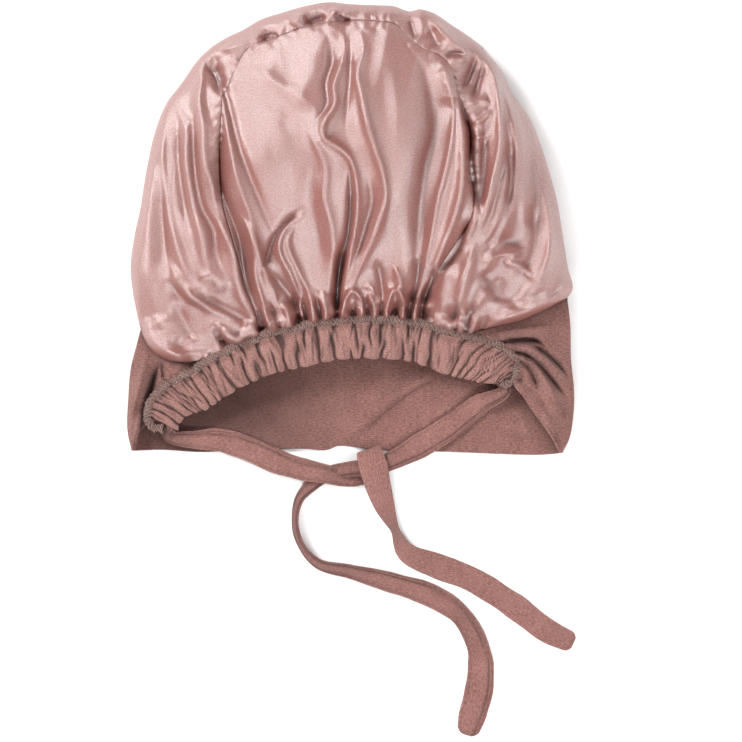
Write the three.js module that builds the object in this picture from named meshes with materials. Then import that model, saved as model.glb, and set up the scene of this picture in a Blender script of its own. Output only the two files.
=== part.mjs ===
// A satin-lined undercap lying on its front, nape side up, with the satin outside.
// Two satin panels make a hollow bag, open towards -Y where the head goes in. A jersey band runs
// round the opening, a gathered casing with an overlocked seam closes it at the nape, and two
// flat ties leave the casing's ends and cross in a loose half knot.
// Millimetres, +Z up. The origin is on the underside, halfway along and across the cap.
import * as THREE from "three";

// Driving dimensions
const capWidth = 260; // across the flat front hem
const capLength = 260; // from the front hem to the top of the crown
const crownHeight = 46; // from the surface to the top of the puffed satin
const edgeHeight = 13; // of the bag's outline above the surface
const hemEdgeHeight = 2.6; // of the band's folded corners above the surface
const hemTopHeight = 6; // of the band's turned-over layer at those corners
const napeEndHeight = 12; // of the casing's ends
const napeMiddleHeight = 24; // of the casing's middle
const nearPuffReach = 74; // from the outline in to where the satin is at its full height
const farPuffReach = 24; // from the outline in to where the underside is flat
const puffPower = 2.2; // 2 gives the puffed edge a round section, more a squarer one
const foldlessRim = 12; // from the satin's edges in to where its folds are at full height
const seamGap = 0.6; // between two pieces that are sewn together
const lobeGap = 1.1; // between the satin's outer corners and the band
const satinWall = 1.5;
const jerseyWall = 1.8;
const casingWidth = 20;
const casingThickness = 5;
const casingSlope = 12; // degrees, the lower edge being the lower one
const gatherCount = 40;
const gatherDepth = 0.9;
const overlockWidth = 4.4;
const overlockThickness = 3.4;
const overlockLoops = 34;
const overlockBumps = 0.35;
const tieWidth = 14;
const tieThickness = 1.6;
const tieStep = 7; // along a tie between two of its sections
const tieStartWide = 0.42; // share of tieWidth where a tie leaves the casing
const tieFromMiddle = 0.3; // share of the casing's width from its middle to a tie's start
const tieLead = 4.5; // straight out of the casing before a tie turns

// Materials, one for each kind of cloth
const satin = new THREE.MeshStandardMaterial({ color: 0xc79f9b, roughness: 0.32, metalness: 0.15 });
const jersey = new THREE.MeshStandardMaterial({ color: 0x9c726c, roughness: 0.9, metalness: 0 });
const thread = new THREE.MeshStandardMaterial({ color: 0x8a7068, roughness: 0.95, metalness: 0 });

// Rows of numbers as objects with named columns.
const table = (columns, rows) =>
  rows.map((row) => Object.fromEntries(columns.map((name, i) => [name, row[i]])));

// Outlines seen from above. across is a share of capWidth from the middle, along is a share of
// capLength from the front hem.
const outline = (rows) => table(["across", "along"], rows);
const leftEdge = outline([
  [-0.462, 0.277], [-0.478, 0.354], [-0.482, 0.427], [-0.471, 0.531],
  [-0.449, 0.642], [-0.418, 0.741], [-0.367, 0.825], [-0.303, 0.9],
]);
const topEdge = outline([
  [-0.303, 0.9], [-0.195, 0.952], [-0.082, 0.984], [0, 0.992],
  [0.088, 0.988], [0.166, 0.978], [0.243, 0.94], [0.292, 0.9],
]);
const rightEdge = outline([
  [0.48, 0.347], [0.478, 0.42], [0.46, 0.515], [0.431, 0.631],
  [0.394, 0.73], [0.35, 0.812], [0.292, 0.9],
]);
const leftSeam = outline([
  [-0.195, 0.272], [-0.228, 0.376], [-0.257, 0.476], [-0.279, 0.564],
  [-0.288, 0.675], [-0.283, 0.792],
]);
const topSeam = outline([
  [-0.283, 0.792], [-0.252, 0.861], [-0.221, 0.905], [-0.111, 0.949],
  [0, 0.965], [0.1, 0.958], [0.166, 0.896], [0.232, 0.825],
]);
const rightSeam = outline([
  [0.157, 0.3], [0.168, 0.361], [0.199, 0.427], [0.252, 0.489],
  [0.272, 0.569], [0.265, 0.675], [0.232, 0.825],
]);
// The overlocked seam, from the left end of the casing to its right end.
const napeSeam = outline([
  [-0.449, 0.086], [-0.44, 0.117], [-0.42, 0.144], [-0.381, 0.168], [-0.341, 0.192],
  [-0.296, 0.219], [-0.243, 0.246], [-0.188, 0.265], [-0.111, 0.283], [-0.022, 0.299],
  [0.066, 0.301], [0.155, 0.292], [0.21, 0.274], [0.265, 0.263], [0.314, 0.248],
  [0.35, 0.228], [0.369, 0.197], [0.358, 0.17],
]);
// The satin's two lobes, which hang over the band beside the casing, from the outer corner in.
const leftLobe = outline([[-0.462, 0.277], [-0.445, 0.239], [-0.42, 0.217], [-0.385, 0.206]]);
const rightLobe = outline([[0.48, 0.347], [0.432, 0.321], [0.376, 0.297], [0.322, 0.284]]);
// The band's sides, from the front hem up, and the hem of its turned-over layer.
const leftBandEdge = outline([
  [-0.484, 0.008], [-0.493, 0.055], [-0.491, 0.122], [-0.484, 0.193], [-0.471, 0.243],
  [-0.462, 0.277],
]);
const rightBandEdge = outline([
  [0.471, 0.004], [0.487, 0.038], [0.495, 0.1], [0.495, 0.148], [0.489, 0.21],
  [0.487, 0.288], [0.48, 0.347],
]);
const frontHem = outline([
  [-0.484, 0.008], [-0.3, 0.011], [-0.1, 0.013], [0.1, 0.011], [0.3, 0.006], [0.471, 0.004],
]);
const leftFlapHem = outline([[-0.477, 0.01], [-0.469, 0.05], [-0.46, 0.074]]);
const rightFlapHem = outline([
  [0.464, 0.006], [0.443, 0.042], [0.418, 0.077], [0.396, 0.102], [0.382, 0.125], [0.366, 0.15],
]);

// The shares of the overlocked seam's length between which the satin meets it.
const satinFrom = 0.2;
const satinTo = 0.82;

// The crown's main folds: from, by way of and to a point, as shares as above, with the rise as a
// share of crownHeight (a valley's is negative) and the width as a share of capWidth.
const foldColumns = ["x0", "y0", "x1", "y1", "x2", "y2", "rise", "width"];
const crownFolds = table(foldColumns, [
  [-0.283, 0.79, -0.279, 0.597, -0.243, 0.454, -0.2, 0.02], // left seam's crease, upper
  [-0.261, 0.515, -0.23, 0.376, -0.188, 0.283, -0.18, 0.018], // left seam's crease, lower
  [-0.272, 0.785, -0.243, 0.686, -0.181, 0.564, -0.09, 0.018], // valley that leaves the seam's top
  [-0.332, 0.852, -0.323, 0.642, -0.301, 0.553, 0.1, 0.02], // ridge beside the left seam, upper
  [-0.301, 0.553, -0.252, 0.427, -0.195, 0.283, 0.12, 0.02], // ridge beside the left seam, lower
  [-0.257, 0.675, -0.252, 0.586, -0.217, 0.493, 0.1, 0.022], // ridge inside the left seam
  [-0.35, 0.763, -0.341, 0.608, -0.301, 0.454, -0.07, 0.018], // valley on the left side
  [-0.385, 0.759, -0.354, 0.586, -0.301, 0.398, 0.08, 0.029], // long ridge on the left side
  [-0.407, 0.675, -0.412, 0.498, -0.394, 0.343, -0.05, 0.035], // broad valley near the left edge
  [-0.35, 0.374, -0.299, 0.319, -0.228, 0.268, 0.08, 0.02], // ridge over the left lobe
  [-0.341, 0.361, -0.27, 0.334, -0.221, 0.294, -0.07, 0.015], // valley over it
  [-0.044, 0.94, -0.035, 0.841, -0.038, 0.759, 0.07, 0.018], // ridge below the top, left of the middle
  [0.004, 0.951, 0.013, 0.83, 0.04, 0.719, 0.08, 0.022], // ridge below the top, right of the middle
  [-0.055, 0.586, -0.062, 0.476, -0.071, 0.343, 0.08, 0.031], // ridge left of the middle
  [-0.02, 0.642, -0.024, 0.509, -0.042, 0.343, -0.1, 0.018], // middle valley
  [0.027, 0.675, 0.024, 0.531, -0.011, 0.398, 0.1, 0.022], // ridge right of the middle
  [0.009, 0.586, 0.0, 0.476, -0.029, 0.354, -0.08, 0.013], // thin valley right of the middle
  [-0.1, 0.538, -0.146, 0.493, -0.195, 0.414, -0.06, 0.015], // curved dent on the left
  [-0.144, 0.487, -0.128, 0.42, -0.077, 0.321, 0.07, 0.018], // curved ridge below it
  [0.186, 0.796, 0.177, 0.608, 0.144, 0.387, -0.14, 0.04], // broad valley in the right half
  [0.226, 0.741, 0.199, 0.575, 0.177, 0.454, 0.06, 0.015], // thin ridge right of it
  [0.246, 0.719, 0.237, 0.564, 0.173, 0.365, 0.1, 0.018], // ridge beside the right seam
  [0.241, 0.796, 0.263, 0.675, 0.272, 0.553, -0.16, 0.015], // right seam's crease, upper
  [0.272, 0.553, 0.232, 0.465, 0.17, 0.332, -0.16, 0.015], // right seam's crease, lower
  [0.327, 0.796, 0.332, 0.675, 0.296, 0.531, 0.11, 0.02], // long ridge on the right side, upper
  [0.296, 0.531, 0.279, 0.454, 0.239, 0.332, 0.11, 0.02], // long ridge on the right side, lower
  [0.365, 0.763, 0.367, 0.631, 0.35, 0.498, 0.05, 0.027], // second ridge on the right side
  [0.292, 0.442, 0.332, 0.46, 0.387, 0.469, -0.08, 0.02], // dent above the right lobe
  [0.31, 0.383, 0.296, 0.343, 0.265, 0.31, 0.07, 0.018], // short ridge at the right lobe
  [0.456, 0.564, 0.447, 0.431, 0.42, 0.343, 0.05, 0.035], // bulge near the right edge
  [0.212, 0.889, 0.239, 0.892, 0.261, 0.896, -0.1, 0.013], // dent at the upper right
  [-0.217, 0.909, -0.188, 0.923, -0.159, 0.927, -0.1, 0.013], // dent at the upper left
]);
// The satin's gathers along the casing.
const satinGathers = 13;
const satinGatherDepth = 2.2;
const satinGatherReach = 26;

// The creases that fan out over the band's turned-over layer from the casing's right end.
const flapFolds = table(foldColumns, [
  [0.33, 0.262, 0.4, 0.262, 0.47, 0.26, 0.07, 0.018],
  [0.37, 0.235, 0.43, 0.2, 0.48, 0.14, 0.09, 0.02],
  [0.38, 0.19, 0.41, 0.14, 0.46, 0.06, 0.07, 0.022],
  [-0.475, 0.04, -0.47, 0.12, -0.44, 0.2, 0.05, 0.02],
]);

// The casing at shares of the overlocked seam's length: the direction from its free edge to the
// seam, in degrees, and its width as a share of casingWidth. Its right end is drawn together.
const casingShape = table(["at", "turn", "wide"], [
  [0, 154, 0.85], [0.12, 131, 1.05], [0.22, 122, 1], [0.35, 106, 1], [0.53, 93, 1], [0.71, 83, 1],
  [0.83, 78, 1.1], [0.89, 74, 1.05], [0.93, 68, 0.9], [0.97, 50, 0.6], [1, 28, 0.36],
]);

// The ties from near the casing's ends to their own ends. lift is in millimetres, roll turns a
// tie about its own line, in degrees, and wide is a share of tieWidth.
const tieColumns = ["across", "along", "lift", "wide", "roll"];
const leftTie = table(tieColumns, [
  [-0.345, 0.034, 3.4, 0.75, 6],
  [-0.29, 0.033, 3.4, 1, 4],
  [-0.225, 0.014, 3.2, 1, 0],
  [-0.16, -0.018, 3, 1, 0],
  [-0.1, -0.035, 4.2, 0.8, 0],
  [-0.06, -0.045, 4.6, 0.6, 0],
  [-0.011, -0.059, 2.6, 0.5, 0],
  [0.03, -0.052, 1.3, 0.5, 0],
  [0.056, -0.024, 1.3, 0.5, 0],
  [0.047, 0.002, 3, 0.6, 0],
  [0.04, 0.011, 5.2, 0.8, 0],
  [0.042, 0.002, 7.8, 0.95, 0],
  [0.05, -0.03, 8.2, 1, 0],
  [0.062, -0.075, 5.4, 1, 0],
  [0.08, -0.125, 3, 0.9, 0],
  [0.107, -0.175, 2.6, 0.5, 25],
  [0.13, -0.225, 2.4, 0.9, 12],
  [0.19, -0.255, 1.2, 1, 0],
  [0.27, -0.285, 1, 1, 0],
  [0.37, -0.35, 1, 1, 0],
  [0.44, -0.4, 1, 1, 0],
  [0.497, -0.418, 1, 1, 0],
]);
const rightTie = table(tieColumns, [
  [0.285, 0.11, 4.2, 0.9, -6],
  [0.22, 0.06, 3.4, 1, 0],
  [0.15, 0.018, 3.4, 1, 0],
  [0.095, -0.01, 4.9, 0.7, 0],
  [0.05, -0.022, 4.9, 0.55, 0],
  [-0.005, -0.021, 2.8, 0.5, 0],
  [-0.05, -0.042, 1.4, 0.5, 0],
  [-0.085, -0.066, 1.6, 0.6, 15],
  [-0.112, -0.1, 3.2, 0.6, 40],
  [-0.122, -0.148, 4.4, 0.6, 60],
  [-0.108, -0.2, 4.4, 0.6, 55],
  [-0.07, -0.245, 3, 0.62, 30],
  [0.0, -0.265, 1.8, 0.75, 8],
  [0.09, -0.285, 1.5, 1, 0],
  [0.18, -0.315, 1.5, 1, 0],
  [0.245, -0.355, 1.8, 1, 0],
  [0.284, -0.43, 1, 1, 0],
  [0.29, -0.51, 1, 1, 0],
  [0.272, -0.585, 1, 1, 0],
  [0.262, -0.622, 1, 1, 0],
]);

const uprightRim = 0.35; // least upward share of a sheet's direction for an upright rim

// How finely each piece is divided
const seamRows = 19; // up the crown's sides
const topColumns = 20; // across the crown's top
const panelRings = 10; // from the seam out to the outline
const bandRows = 9;
const flapColumns = 8;
const gatherSteps = 3; // sections for each gather of the casing

// Geometry helpers
const mm = ({ across, along }, lift = 0) =>
  new THREE.Vector3(across * capWidth, (along - 0.5) * capLength, lift);
const curveThrough = (points) => new THREE.CatmullRomCurve3(points, false, "centripetal");
const points = (rows) => rows.map((row) => mm(row));
const curveOf = (rows) => curveThrough(points(rows));
const straight = (from, to) => curveThrough([from, from.clone().lerp(to, 0.5), to]);
const lerp = THREE.MathUtils.lerp;
const clamp01 = (t) => THREE.MathUtils.clamp(t, 0, 1);
// 0 at 0 with an upright start, and 1 from 1 on: the section of a puffed edge.
const puff = (t) => (1 - (1 - clamp01(t)) ** puffPower) ** (1 / puffPower);
const toLeftOf = (tangent) => new THREE.Vector3(-tangent.y, tangent.x, 0).normalize();

// The nearest place on a row of points, as its distance and its share of the row.
function nearestOn(points, x, y) {
  let best = { distance: Infinity, share: 0 };
  for (let i = 0; i + 1 < points.length; i++) {
    const a = points[i];
    const dx = points[i + 1].x - a.x;
    const dy = points[i + 1].y - a.y;
    const t = clamp01(((x - a.x) * dx + (y - a.y) * dy) / (dx * dx + dy * dy));
    const distance = Math.hypot(x - a.x - t * dx, y - a.y - t * dy);
    if (distance < best.distance) best = { distance, share: (i + t) / (points.length - 1) };
  }
  return best;
}

// The height that a list of folds adds at a place.
function foldHeight(folds, x, y) {
  let height = 0;
  for (const fold of folds) {
    const { distance, share } = nearestOn(fold.line, x, y);
    const fade = Math.sin(Math.PI * (0.12 + 0.76 * share));
    height += fold.rise * fade * Math.exp(-((distance / fold.width) ** 2));
  }
  return height;
}
const foldsOf = (rows) =>
  rows.map(({ x0, y0, x1, y1, x2, y2, rise, width }) => ({
    line: curveThrough([
      mm({ across: x0, along: y0 }),
      mm({ across: x1, along: y1 }),
      mm({ across: x2, along: y2 }),
    ]).getPoints(10),
    rise: rise * crownHeight,
    width: width * capWidth,
  }));

// The curves that bound the pieces, seen from above
const nape = curveOf(napeSeam);
const seamOffset = overlockWidth / 2 + seamGap;
const besideNape = (share, offset) =>
  nape.getPointAt(share).addScaledVector(toLeftOf(nape.getTangentAt(share)), offset);
const alongNape = (from, to, count, offset) =>
  Array.from({ length: count + 1 }, (_, i) => besideNape(lerp(from, to, i / count), offset));

// The satin's lower edge on the near side, in three stretches that end at the panel's seams.
const napeShareNear = (row) => nearestOn(nape.getSpacedPoints(200), mm(row).x, mm(row).y).share;
const leftFoot = napeShareNear(leftSeam[0]);
const rightFoot = napeShareNear(rightSeam[0]);
const leftSatinEdge = curveThrough([
  ...points(leftLobe),
  ...alongNape(satinFrom, leftFoot, 3, seamOffset),
]);
const middleSatinEdge = curveThrough(alongNape(leftFoot, rightFoot, 8, seamOffset));
const rightSatinEdge = curveThrough([
  ...points(rightLobe),
  ...alongNape(satinTo, rightFoot, 3, seamOffset),
]);
const withFoot = (rows, foot) => curveThrough([foot, ...points(rows).slice(1)]);
const leftSeamLine = withFoot(leftSeam, middleSatinEdge.getPoint(0));
const rightSeamLine = withFoot(rightSeam, middleSatinEdge.getPoint(1));
const edges = { left: curveOf(leftEdge), top: curveOf(topEdge), right: curveOf(rightEdge) };
const seams = { left: leftSeamLine, top: curveOf(topSeam), right: rightSeamLine };

// Heights of the near layer
const napeHeight = (share) =>
  lerp(napeEndHeight, napeMiddleHeight, Math.sin(Math.PI * clamp01(share)) ** 0.8);
const nearOutline = {
  bag: [
    ...edges.left.getSpacedPoints(24),
    ...edges.top.getSpacedPoints(16).slice(1),
    ...edges.right.getSpacedPoints(24).reverse().slice(1),
  ],
  foot: [
    ...leftSatinEdge.getSpacedPoints(16),
    ...middleSatinEdge.getSpacedPoints(16).slice(1),
    ...rightSatinEdge.getSpacedPoints(16).reverse().slice(1),
  ],
  nape: nape.getSpacedPoints(60),
};
const crownFoldLines = foldsOf(crownFolds);
function nearHeight(x, y) {
  const bag = nearestOn(nearOutline.bag, x, y).distance;
  const foot = nearestOn(nearOutline.foot, x, y);
  const seam = nearestOn(nearOutline.nape, x, y);
  // The foot's own height: the casing's where the satin meets it, the outline's at the corners.
  const inward = clamp01(4 * Math.min(foot.share, 1 - foot.share));
  const footHeight = lerp(edgeHeight, napeHeight(seam.share), inward);
  const atEdge = lerp(footHeight, edgeHeight, clamp01(foot.distance / (bag + foot.distance)));
  const reach = Math.min(bag, foot.distance) / nearPuffReach;
  const body = lerp(atEdge, crownHeight, puff(reach));
  const inside = clamp01(Math.min(bag, foot.distance) / foldlessRim);
  const gathers =
    satinGatherDepth *
    Math.cos(2 * Math.PI * satinGathers * foot.share) *
    inside *
    Math.exp(-foot.distance / satinGatherReach);
  return body + inside * foldHeight(crownFoldLines, x, y) + gathers;
}
// Height of the underside's outer face, which is flat away from the outline.
const farHeight = (distance, edge, reach) => edge * (1 - puff(distance / reach));

// Sheets: grids of points that share their edges, thickened to closed solids
class Sheet {
  constructor() {
    this.points = [];
    this.faces = [];
    this.known = new Map();
  }
  add(point) {
    const key = [point.x, point.y, point.z].map((v) => Math.round(v * 1000)).join();
    if (!this.known.has(key)) {
      this.known.set(key, this.points.length);
      this.points.push(point);
    }
    return this.known.get(key);
  }
  // rows of points; a grid seen with its rows going up and its columns to the right faces up.
  addGrid(rows, facesUp) {
    const index = rows.map((row) => row.map((point) => this.add(point)));
    for (let i = 0; i + 1 < index.length; i++)
      for (let j = 0; j + 1 < index[i].length; j++) {
        const [a, b, c, d] = [index[i][j], index[i][j + 1], index[i + 1][j + 1], index[i + 1][j]];
        const pair = facesUp ? [[a, b, c], [a, c, d]] : [[a, c, b], [a, d, c]];
        for (const face of pair) if (new Set(face).size === 3) this.faces.push(face);
      }
  }
  normals() {
    const sum = this.points.map(() => new THREE.Vector3());
    for (const [a, b, c] of this.faces) {
      const [p, q, r] = [this.points[a], this.points[b], this.points[c]];
      const normal = q.clone().sub(p).cross(r.clone().sub(p));
      for (const i of [a, b, c]) sum[i].add(normal);
    }
    return sum.map((normal) => normal.normalize());
  }
  // The sides that only one face has, as pairs of points.
  rim() {
    const sides = ([a, b, c]) => [`${a},${b}`, `${b},${c}`, `${c},${a}`];
    const used = new Set(this.faces.flatMap(sides));
    const pairs = [...used].map((key) => key.split(",").map(Number));
    return pairs.filter(([a, b]) => !used.has(`${b},${a}`));
  }
  // The sheet as a closed solid whose outer face is the sheet itself. Its rim is upright, so that
  // two sheets keep their gap, except where it runs round the outline.
  thickened(wall) {
    const normals = this.normals();
    const rim = this.rim();
    for (const i of new Set(rim.flat())) {
      const { z } = normals[i];
      if (Math.abs(z) > uprightRim) normals[i].set(0, 0, Math.sign(z));
    }
    const count = this.points.length;
    const inner = this.points.map((p, i) => p.clone().addScaledVector(normals[i], -wall));
    const faces = this.faces.flatMap(([a, b, c]) => [
      [a, b, c],
      [a + count, c + count, b + count],
    ]);
    for (const [a, b] of rim) faces.push([b, a, a + count], [b, a + count, b + count]);
    return geometryOf([...this.points, ...inner], faces);
  }
}

function geometryOf(vertices, faces) {
  const geometry = new THREE.BufferGeometry().setFromPoints(vertices);
  geometry.setIndex(faces.flat());
  geometry.computeVertexNormals();
  return geometry;
}

// A grid between four curves. bottom and top run left to right, left and right run upwards.
function patch({ bottom, top, left, right }, columns, rows, lift) {
  return rows.map((v) =>
    columns.map((u) => {
      const point = new THREE.Vector3();
      const parts = [
        [bottom.getPointAt(u), 1 - v], [top.getPointAt(u), v],
        [left.getPointAt(v), 1 - u], [right.getPointAt(v), u],
        [bottom.getPointAt(0), -(1 - u) * (1 - v)], [bottom.getPointAt(1), -u * (1 - v)],
        [top.getPointAt(0), -(1 - u) * v], [top.getPointAt(1), -u * v],
      ];
      for (const [part, weight] of parts) point.addScaledVector(part, weight);
      point.z = lift(point.x, point.y, u, v);
      return point;
    }),
  );
}
const evenly = (count) => Array.from({ length: count + 1 }, (_, i) => i / count);

function mesh(name, geometry, material) {
  const made = new THREE.Mesh(geometry, material);
  made.name = name;
  return made;
}

// The satin panel in the middle, inside the horseshoe seam.
function crownBackPanel() {
  const sheet = new Sheet();
  const grown = (curve, offset) =>
    curveThrough(
      evenly(24).map((t) =>
        curve.getPointAt(t).addScaledVector(toLeftOf(curve.getTangentAt(t)), offset),
      ),
    );
  const half = seamGap / 2;
  const sides = {
    bottom: middleSatinEdge,
    left: grown(seams.left, -half),
    right: grown(seams.right, half),
    top: grown(seams.top, -half),
  };
  const fitted = fitCorners(sides);
  sheet.addGrid(patch(fitted, evenly(topColumns), evenly(seamRows), nearHeight), true);
  return mesh("crown_back_panel", sheet.thickened(satinWall), satin);
}

// The same four curves with their ends moved to common corners.
function fitCorners({ bottom, top, left, right }) {
  const ends = (curve, start, end) => {
    const inside = curve.getSpacedPoints(24).slice(1, -1);
    return curveThrough([start, ...inside, end]);
  };
  const middle = (a, b) => a.clone().lerp(b, 0.5);
  const lowerLeft = middle(bottom.getPoint(0), left.getPoint(0));
  const lowerRight = middle(bottom.getPoint(1), right.getPoint(0));
  const upperLeft = middle(top.getPoint(0), left.getPoint(1));
  const upperRight = middle(top.getPoint(1), right.getPoint(1));
  return {
    bottom: ends(bottom, lowerLeft, lowerRight),
    top: ends(top, upperLeft, upperRight),
    left: ends(left, lowerLeft, upperLeft),
    right: ends(right, lowerRight, upperRight),
  };
}

// The satin panel round it: a horseshoe on the near side, a full layer on the far side.
function crownSidePanel() {
  const sheet = new Sheet();
  const stretches = [
    { seam: seams.left, edge: edges.left, shares: evenly(seamRows) },
    { seam: seams.top, edge: edges.top, shares: evenly(topColumns) },
    { seam: seams.right, edge: edges.right, shares: evenly(seamRows).reverse() },
  ];
  const rings = evenly(panelRings).map((t) => Math.sin((Math.PI / 2) * t));
  const half = seamGap / 2;
  const columns = stretches.flatMap(({ seam, edge, shares }, number) =>
    shares.slice(number ? 1 : 0).map((share) => {
      const start = seam.getPointAt(share);
      const end = edge.getPointAt(share);
      start.addScaledVector(end.clone().sub(start).normalize(), half);
      const foot = share === 0 && (number === 0 ? leftSatinEdge : rightSatinEdge);
      return rings.map((r) => {
        const point = foot ? foot.getPointAt(1 - r) : start.clone().lerp(end, r);
        if (foot && r === 0) point.addScaledVector(end.clone().sub(start).normalize(), half);
        point.z = r === 1 ? edgeHeight : nearHeight(point.x, point.y);
        return point;
      });
    }),
  );
  sheet.addGrid(columns, false);
  const bag = nearOutline.bag;
  const lift = (x, y, u, v) => {
    const onOutline = u === 0 || u === 1 || v === 1;
    return onOutline ? edgeHeight : farHeight(nearestOn(bag, x, y).distance, edgeHeight, farPuffReach);
  };
  const sides = { bottom: farSeam, top: edges.top, left: edges.left, right: edges.right };
  sheet.addGrid(patch(sides, evenly(topColumns), evenly(seamRows), lift), false);
  return mesh("crown_side_panel", sheet.thickened(satinWall), satin);
}
const farSeam = straight(edges.left.getPoint(0), edges.right.getPoint(0));

// The jersey band: the far layer, and at each side a layer turned over to the casing's end.
function frontBand() {
  const sheet = new Sheet();
  const left = curveThrough(withGap(leftBandEdge));
  const right = curveThrough(withGap(rightBandEdge));
  const edgeAt = (v) => lerp(hemEdgeHeight, edgeHeight, v);
  const far = {
    bottom: curveOf(frontHem),
    top: straight(left.getPoint(1), right.getPoint(1)),
    left,
    right,
  };
  const leftLine = left.getSpacedPoints(40);
  const rightLine = right.getSpacedPoints(40);
  const farLift = (x, y, u, v) => {
    const distance = Math.min(
      nearestOn(leftLine, x, y).distance,
      nearestOn(rightLine, x, y).distance,
    );
    const reach = lerp(hemEdgeHeight * 2, farPuffReach, v);
    return u === 0 || u === 1 ? edgeAt(v) : farHeight(distance, edgeAt(v), reach);
  };
  sheet.addGrid(patch(far, evenly(topColumns), evenly(bandRows), farLift), false);
  sheet.addGrid(flap(left, leftFlapHem, leftLobe, 0, satinFrom), true);
  sheet.addGrid(flap(right, rightFlapHem, rightLobe, 1, satinTo), false);
  return mesh("front_band", sheet.thickened(jerseyWall), jersey);
}
// The band's side line, ending short of the satin.
const withGap = (rows) => {
  const line = points(rows);
  line.at(-1).y -= lobeGap;
  return line;
};
const flapFoldLines = foldsOf(flapFolds);

// A turned-over side: from the band's edge in to the hem and then along the casing's end.
function flap(edge, hemRows, lobeRows, napeEnd, napeTo) {
  const lobeLine = curveOf(lobeRows);
  const underLobe = (t) => {
    const side = napeEnd ? 1 : -1;
    const away = toLeftOf(lobeLine.getTangentAt(t)).multiplyScalar(side * (seamGap + satinWall));
    return lobeLine.getPointAt(t).add(away);
  };
  const alongEnd = alongNape(napeEnd, napeTo, 6, seamOffset + jerseyWall / 2).slice(0, -1);
  const inner = curveThrough([...points(hemRows), ...alongEnd, underLobe(1)]);
  const top = curveThrough([edge.getPoint(1), underLobe(0.3), underLobe(0.65), underLobe(1)]);
  const bottom = curveThrough([edge.getPoint(0), inner.getPoint(0)]);
  const lineOfNape = nearOutline.nape;
  const lift = (x, y, u, v) => {
    if (u === 0) return lerp(hemEdgeHeight, edgeHeight, v);
    const seam = nearestOn(lineOfNape, x, y);
    const risen = THREE.MathUtils.smoothstep(v, 0, 0.45);
    const atSeam = lerp(hemTopHeight, napeHeight(seam.share), risen);
    const body = lerp(lerp(hemEdgeHeight, edgeHeight, v), atSeam, puff(u));
    return body + foldHeight(flapFoldLines, x, y) * puff(u) * clamp01(3 * (1 - u));
  };
  const sides = { bottom, top, left: edge, right: inner };
  const columns = evenly(flapColumns).map((t) => 1 - Math.cos((Math.PI / 2) * t));
  return patch(sides, columns, evenly(bandRows), lift);
}

// A closed tube through rings of points.
function tubeOf(rings) {
  const size = rings[0].length;
  const faces = [];
  for (let i = 0; i + 1 < rings.length; i++)
    for (let j = 0; j < size; j++) {
      const k = (j + 1) % size;
      const [a, b, c, d] = [i * size + j, i * size + k, (i + 1) * size + k, (i + 1) * size + j];
      faces.push([a, b, c], [a, c, d]);
    }
  const last = (rings.length - 1) * size;
  for (let j = 1; j + 1 < size; j++) faces.push([0, j + 1, j], [last, last + j, last + j + 1]);
  return geometryOf(rings.flat(), faces);
}

// A flat section with round edges: shares of the half width and the half thickness.
const sectionCorners = table(["across", "up"], [
  [1, 0], [0.86, 0.8], [0, 1], [-0.86, 0.8], [-1, 0], [-0.86, -0.8], [0, -1], [0.86, -0.8],
]);
const ring = (centre, across, up, width, thickness) =>
  sectionCorners.map((corner) =>
    centre
      .clone()
      .addScaledVector(across, (corner.across * width) / 2)
      .addScaledVector(up, (corner.up * thickness) / 2),
  );

// A section of the casing: its middle, the directions across and up, and its width.
function casingSection(share) {
  const next = casingShape.findIndex(({ at }) => at >= share);
  const [a, b] = [casingShape[Math.max(next - 1, 0)], casingShape[next]];
  const t = b.at > a.at ? (share - a.at) / (b.at - a.at) : 0;
  const turn = THREE.MathUtils.degToRad(lerp(a.turn, b.turn, t));
  const width = casingWidth * lerp(a.wide, b.wide, t);
  const slope = THREE.MathUtils.degToRad(casingSlope);
  const outward = new THREE.Vector3(Math.cos(turn), Math.sin(turn), 0);
  const across = outward.clone().multiplyScalar(Math.cos(slope));
  across.z = Math.sin(slope);
  const up = outward.clone().multiplyScalar(-Math.sin(slope));
  up.z = Math.cos(slope);
  const centre = besideNape(share, -overlockWidth / 2 - seamGap);
  centre.z = napeHeight(share) - casingThickness / 2;
  centre.addScaledVector(across, -width / 2);
  return { centre, across, up, width };
}

// The gathered casing, on the inner side of the overlocked seam.
function napeCasing() {
  const steps = gatherCount * gatherSteps;
  const rings = Array.from({ length: steps + 1 }, (_, i) => {
    const { centre, across, up, width } = casingSection(i / steps);
    const wave = Math.cos((2 * Math.PI * i) / gatherSteps);
    const thickness = casingThickness + gatherDepth * wave;
    return ring(centre, across, up, width - gatherDepth * (1 - wave), thickness);
  });
  return mesh("nape_casing", tubeOf(rings), jersey);
}

// The overlocked seam, a bumpy roll between the satin and the casing.
function overlockSeam() {
  const steps = overlockLoops * 2;
  const rings = Array.from({ length: steps + 1 }, (_, i) => {
    const share = i / steps;
    const outward = toLeftOf(nape.getTangentAt(share));
    const bump = overlockBumps * Math.cos(Math.PI * i);
    const centre = nape.getPointAt(share);
    centre.z = napeHeight(share) - overlockThickness / 2;
    const up = new THREE.Vector3(0, 0, 1);
    return ring(centre, outward, up, overlockWidth - overlockBumps, overlockThickness + bump);
  });
  return mesh("overlock_seam", tubeOf(rings), thread);
}

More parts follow.
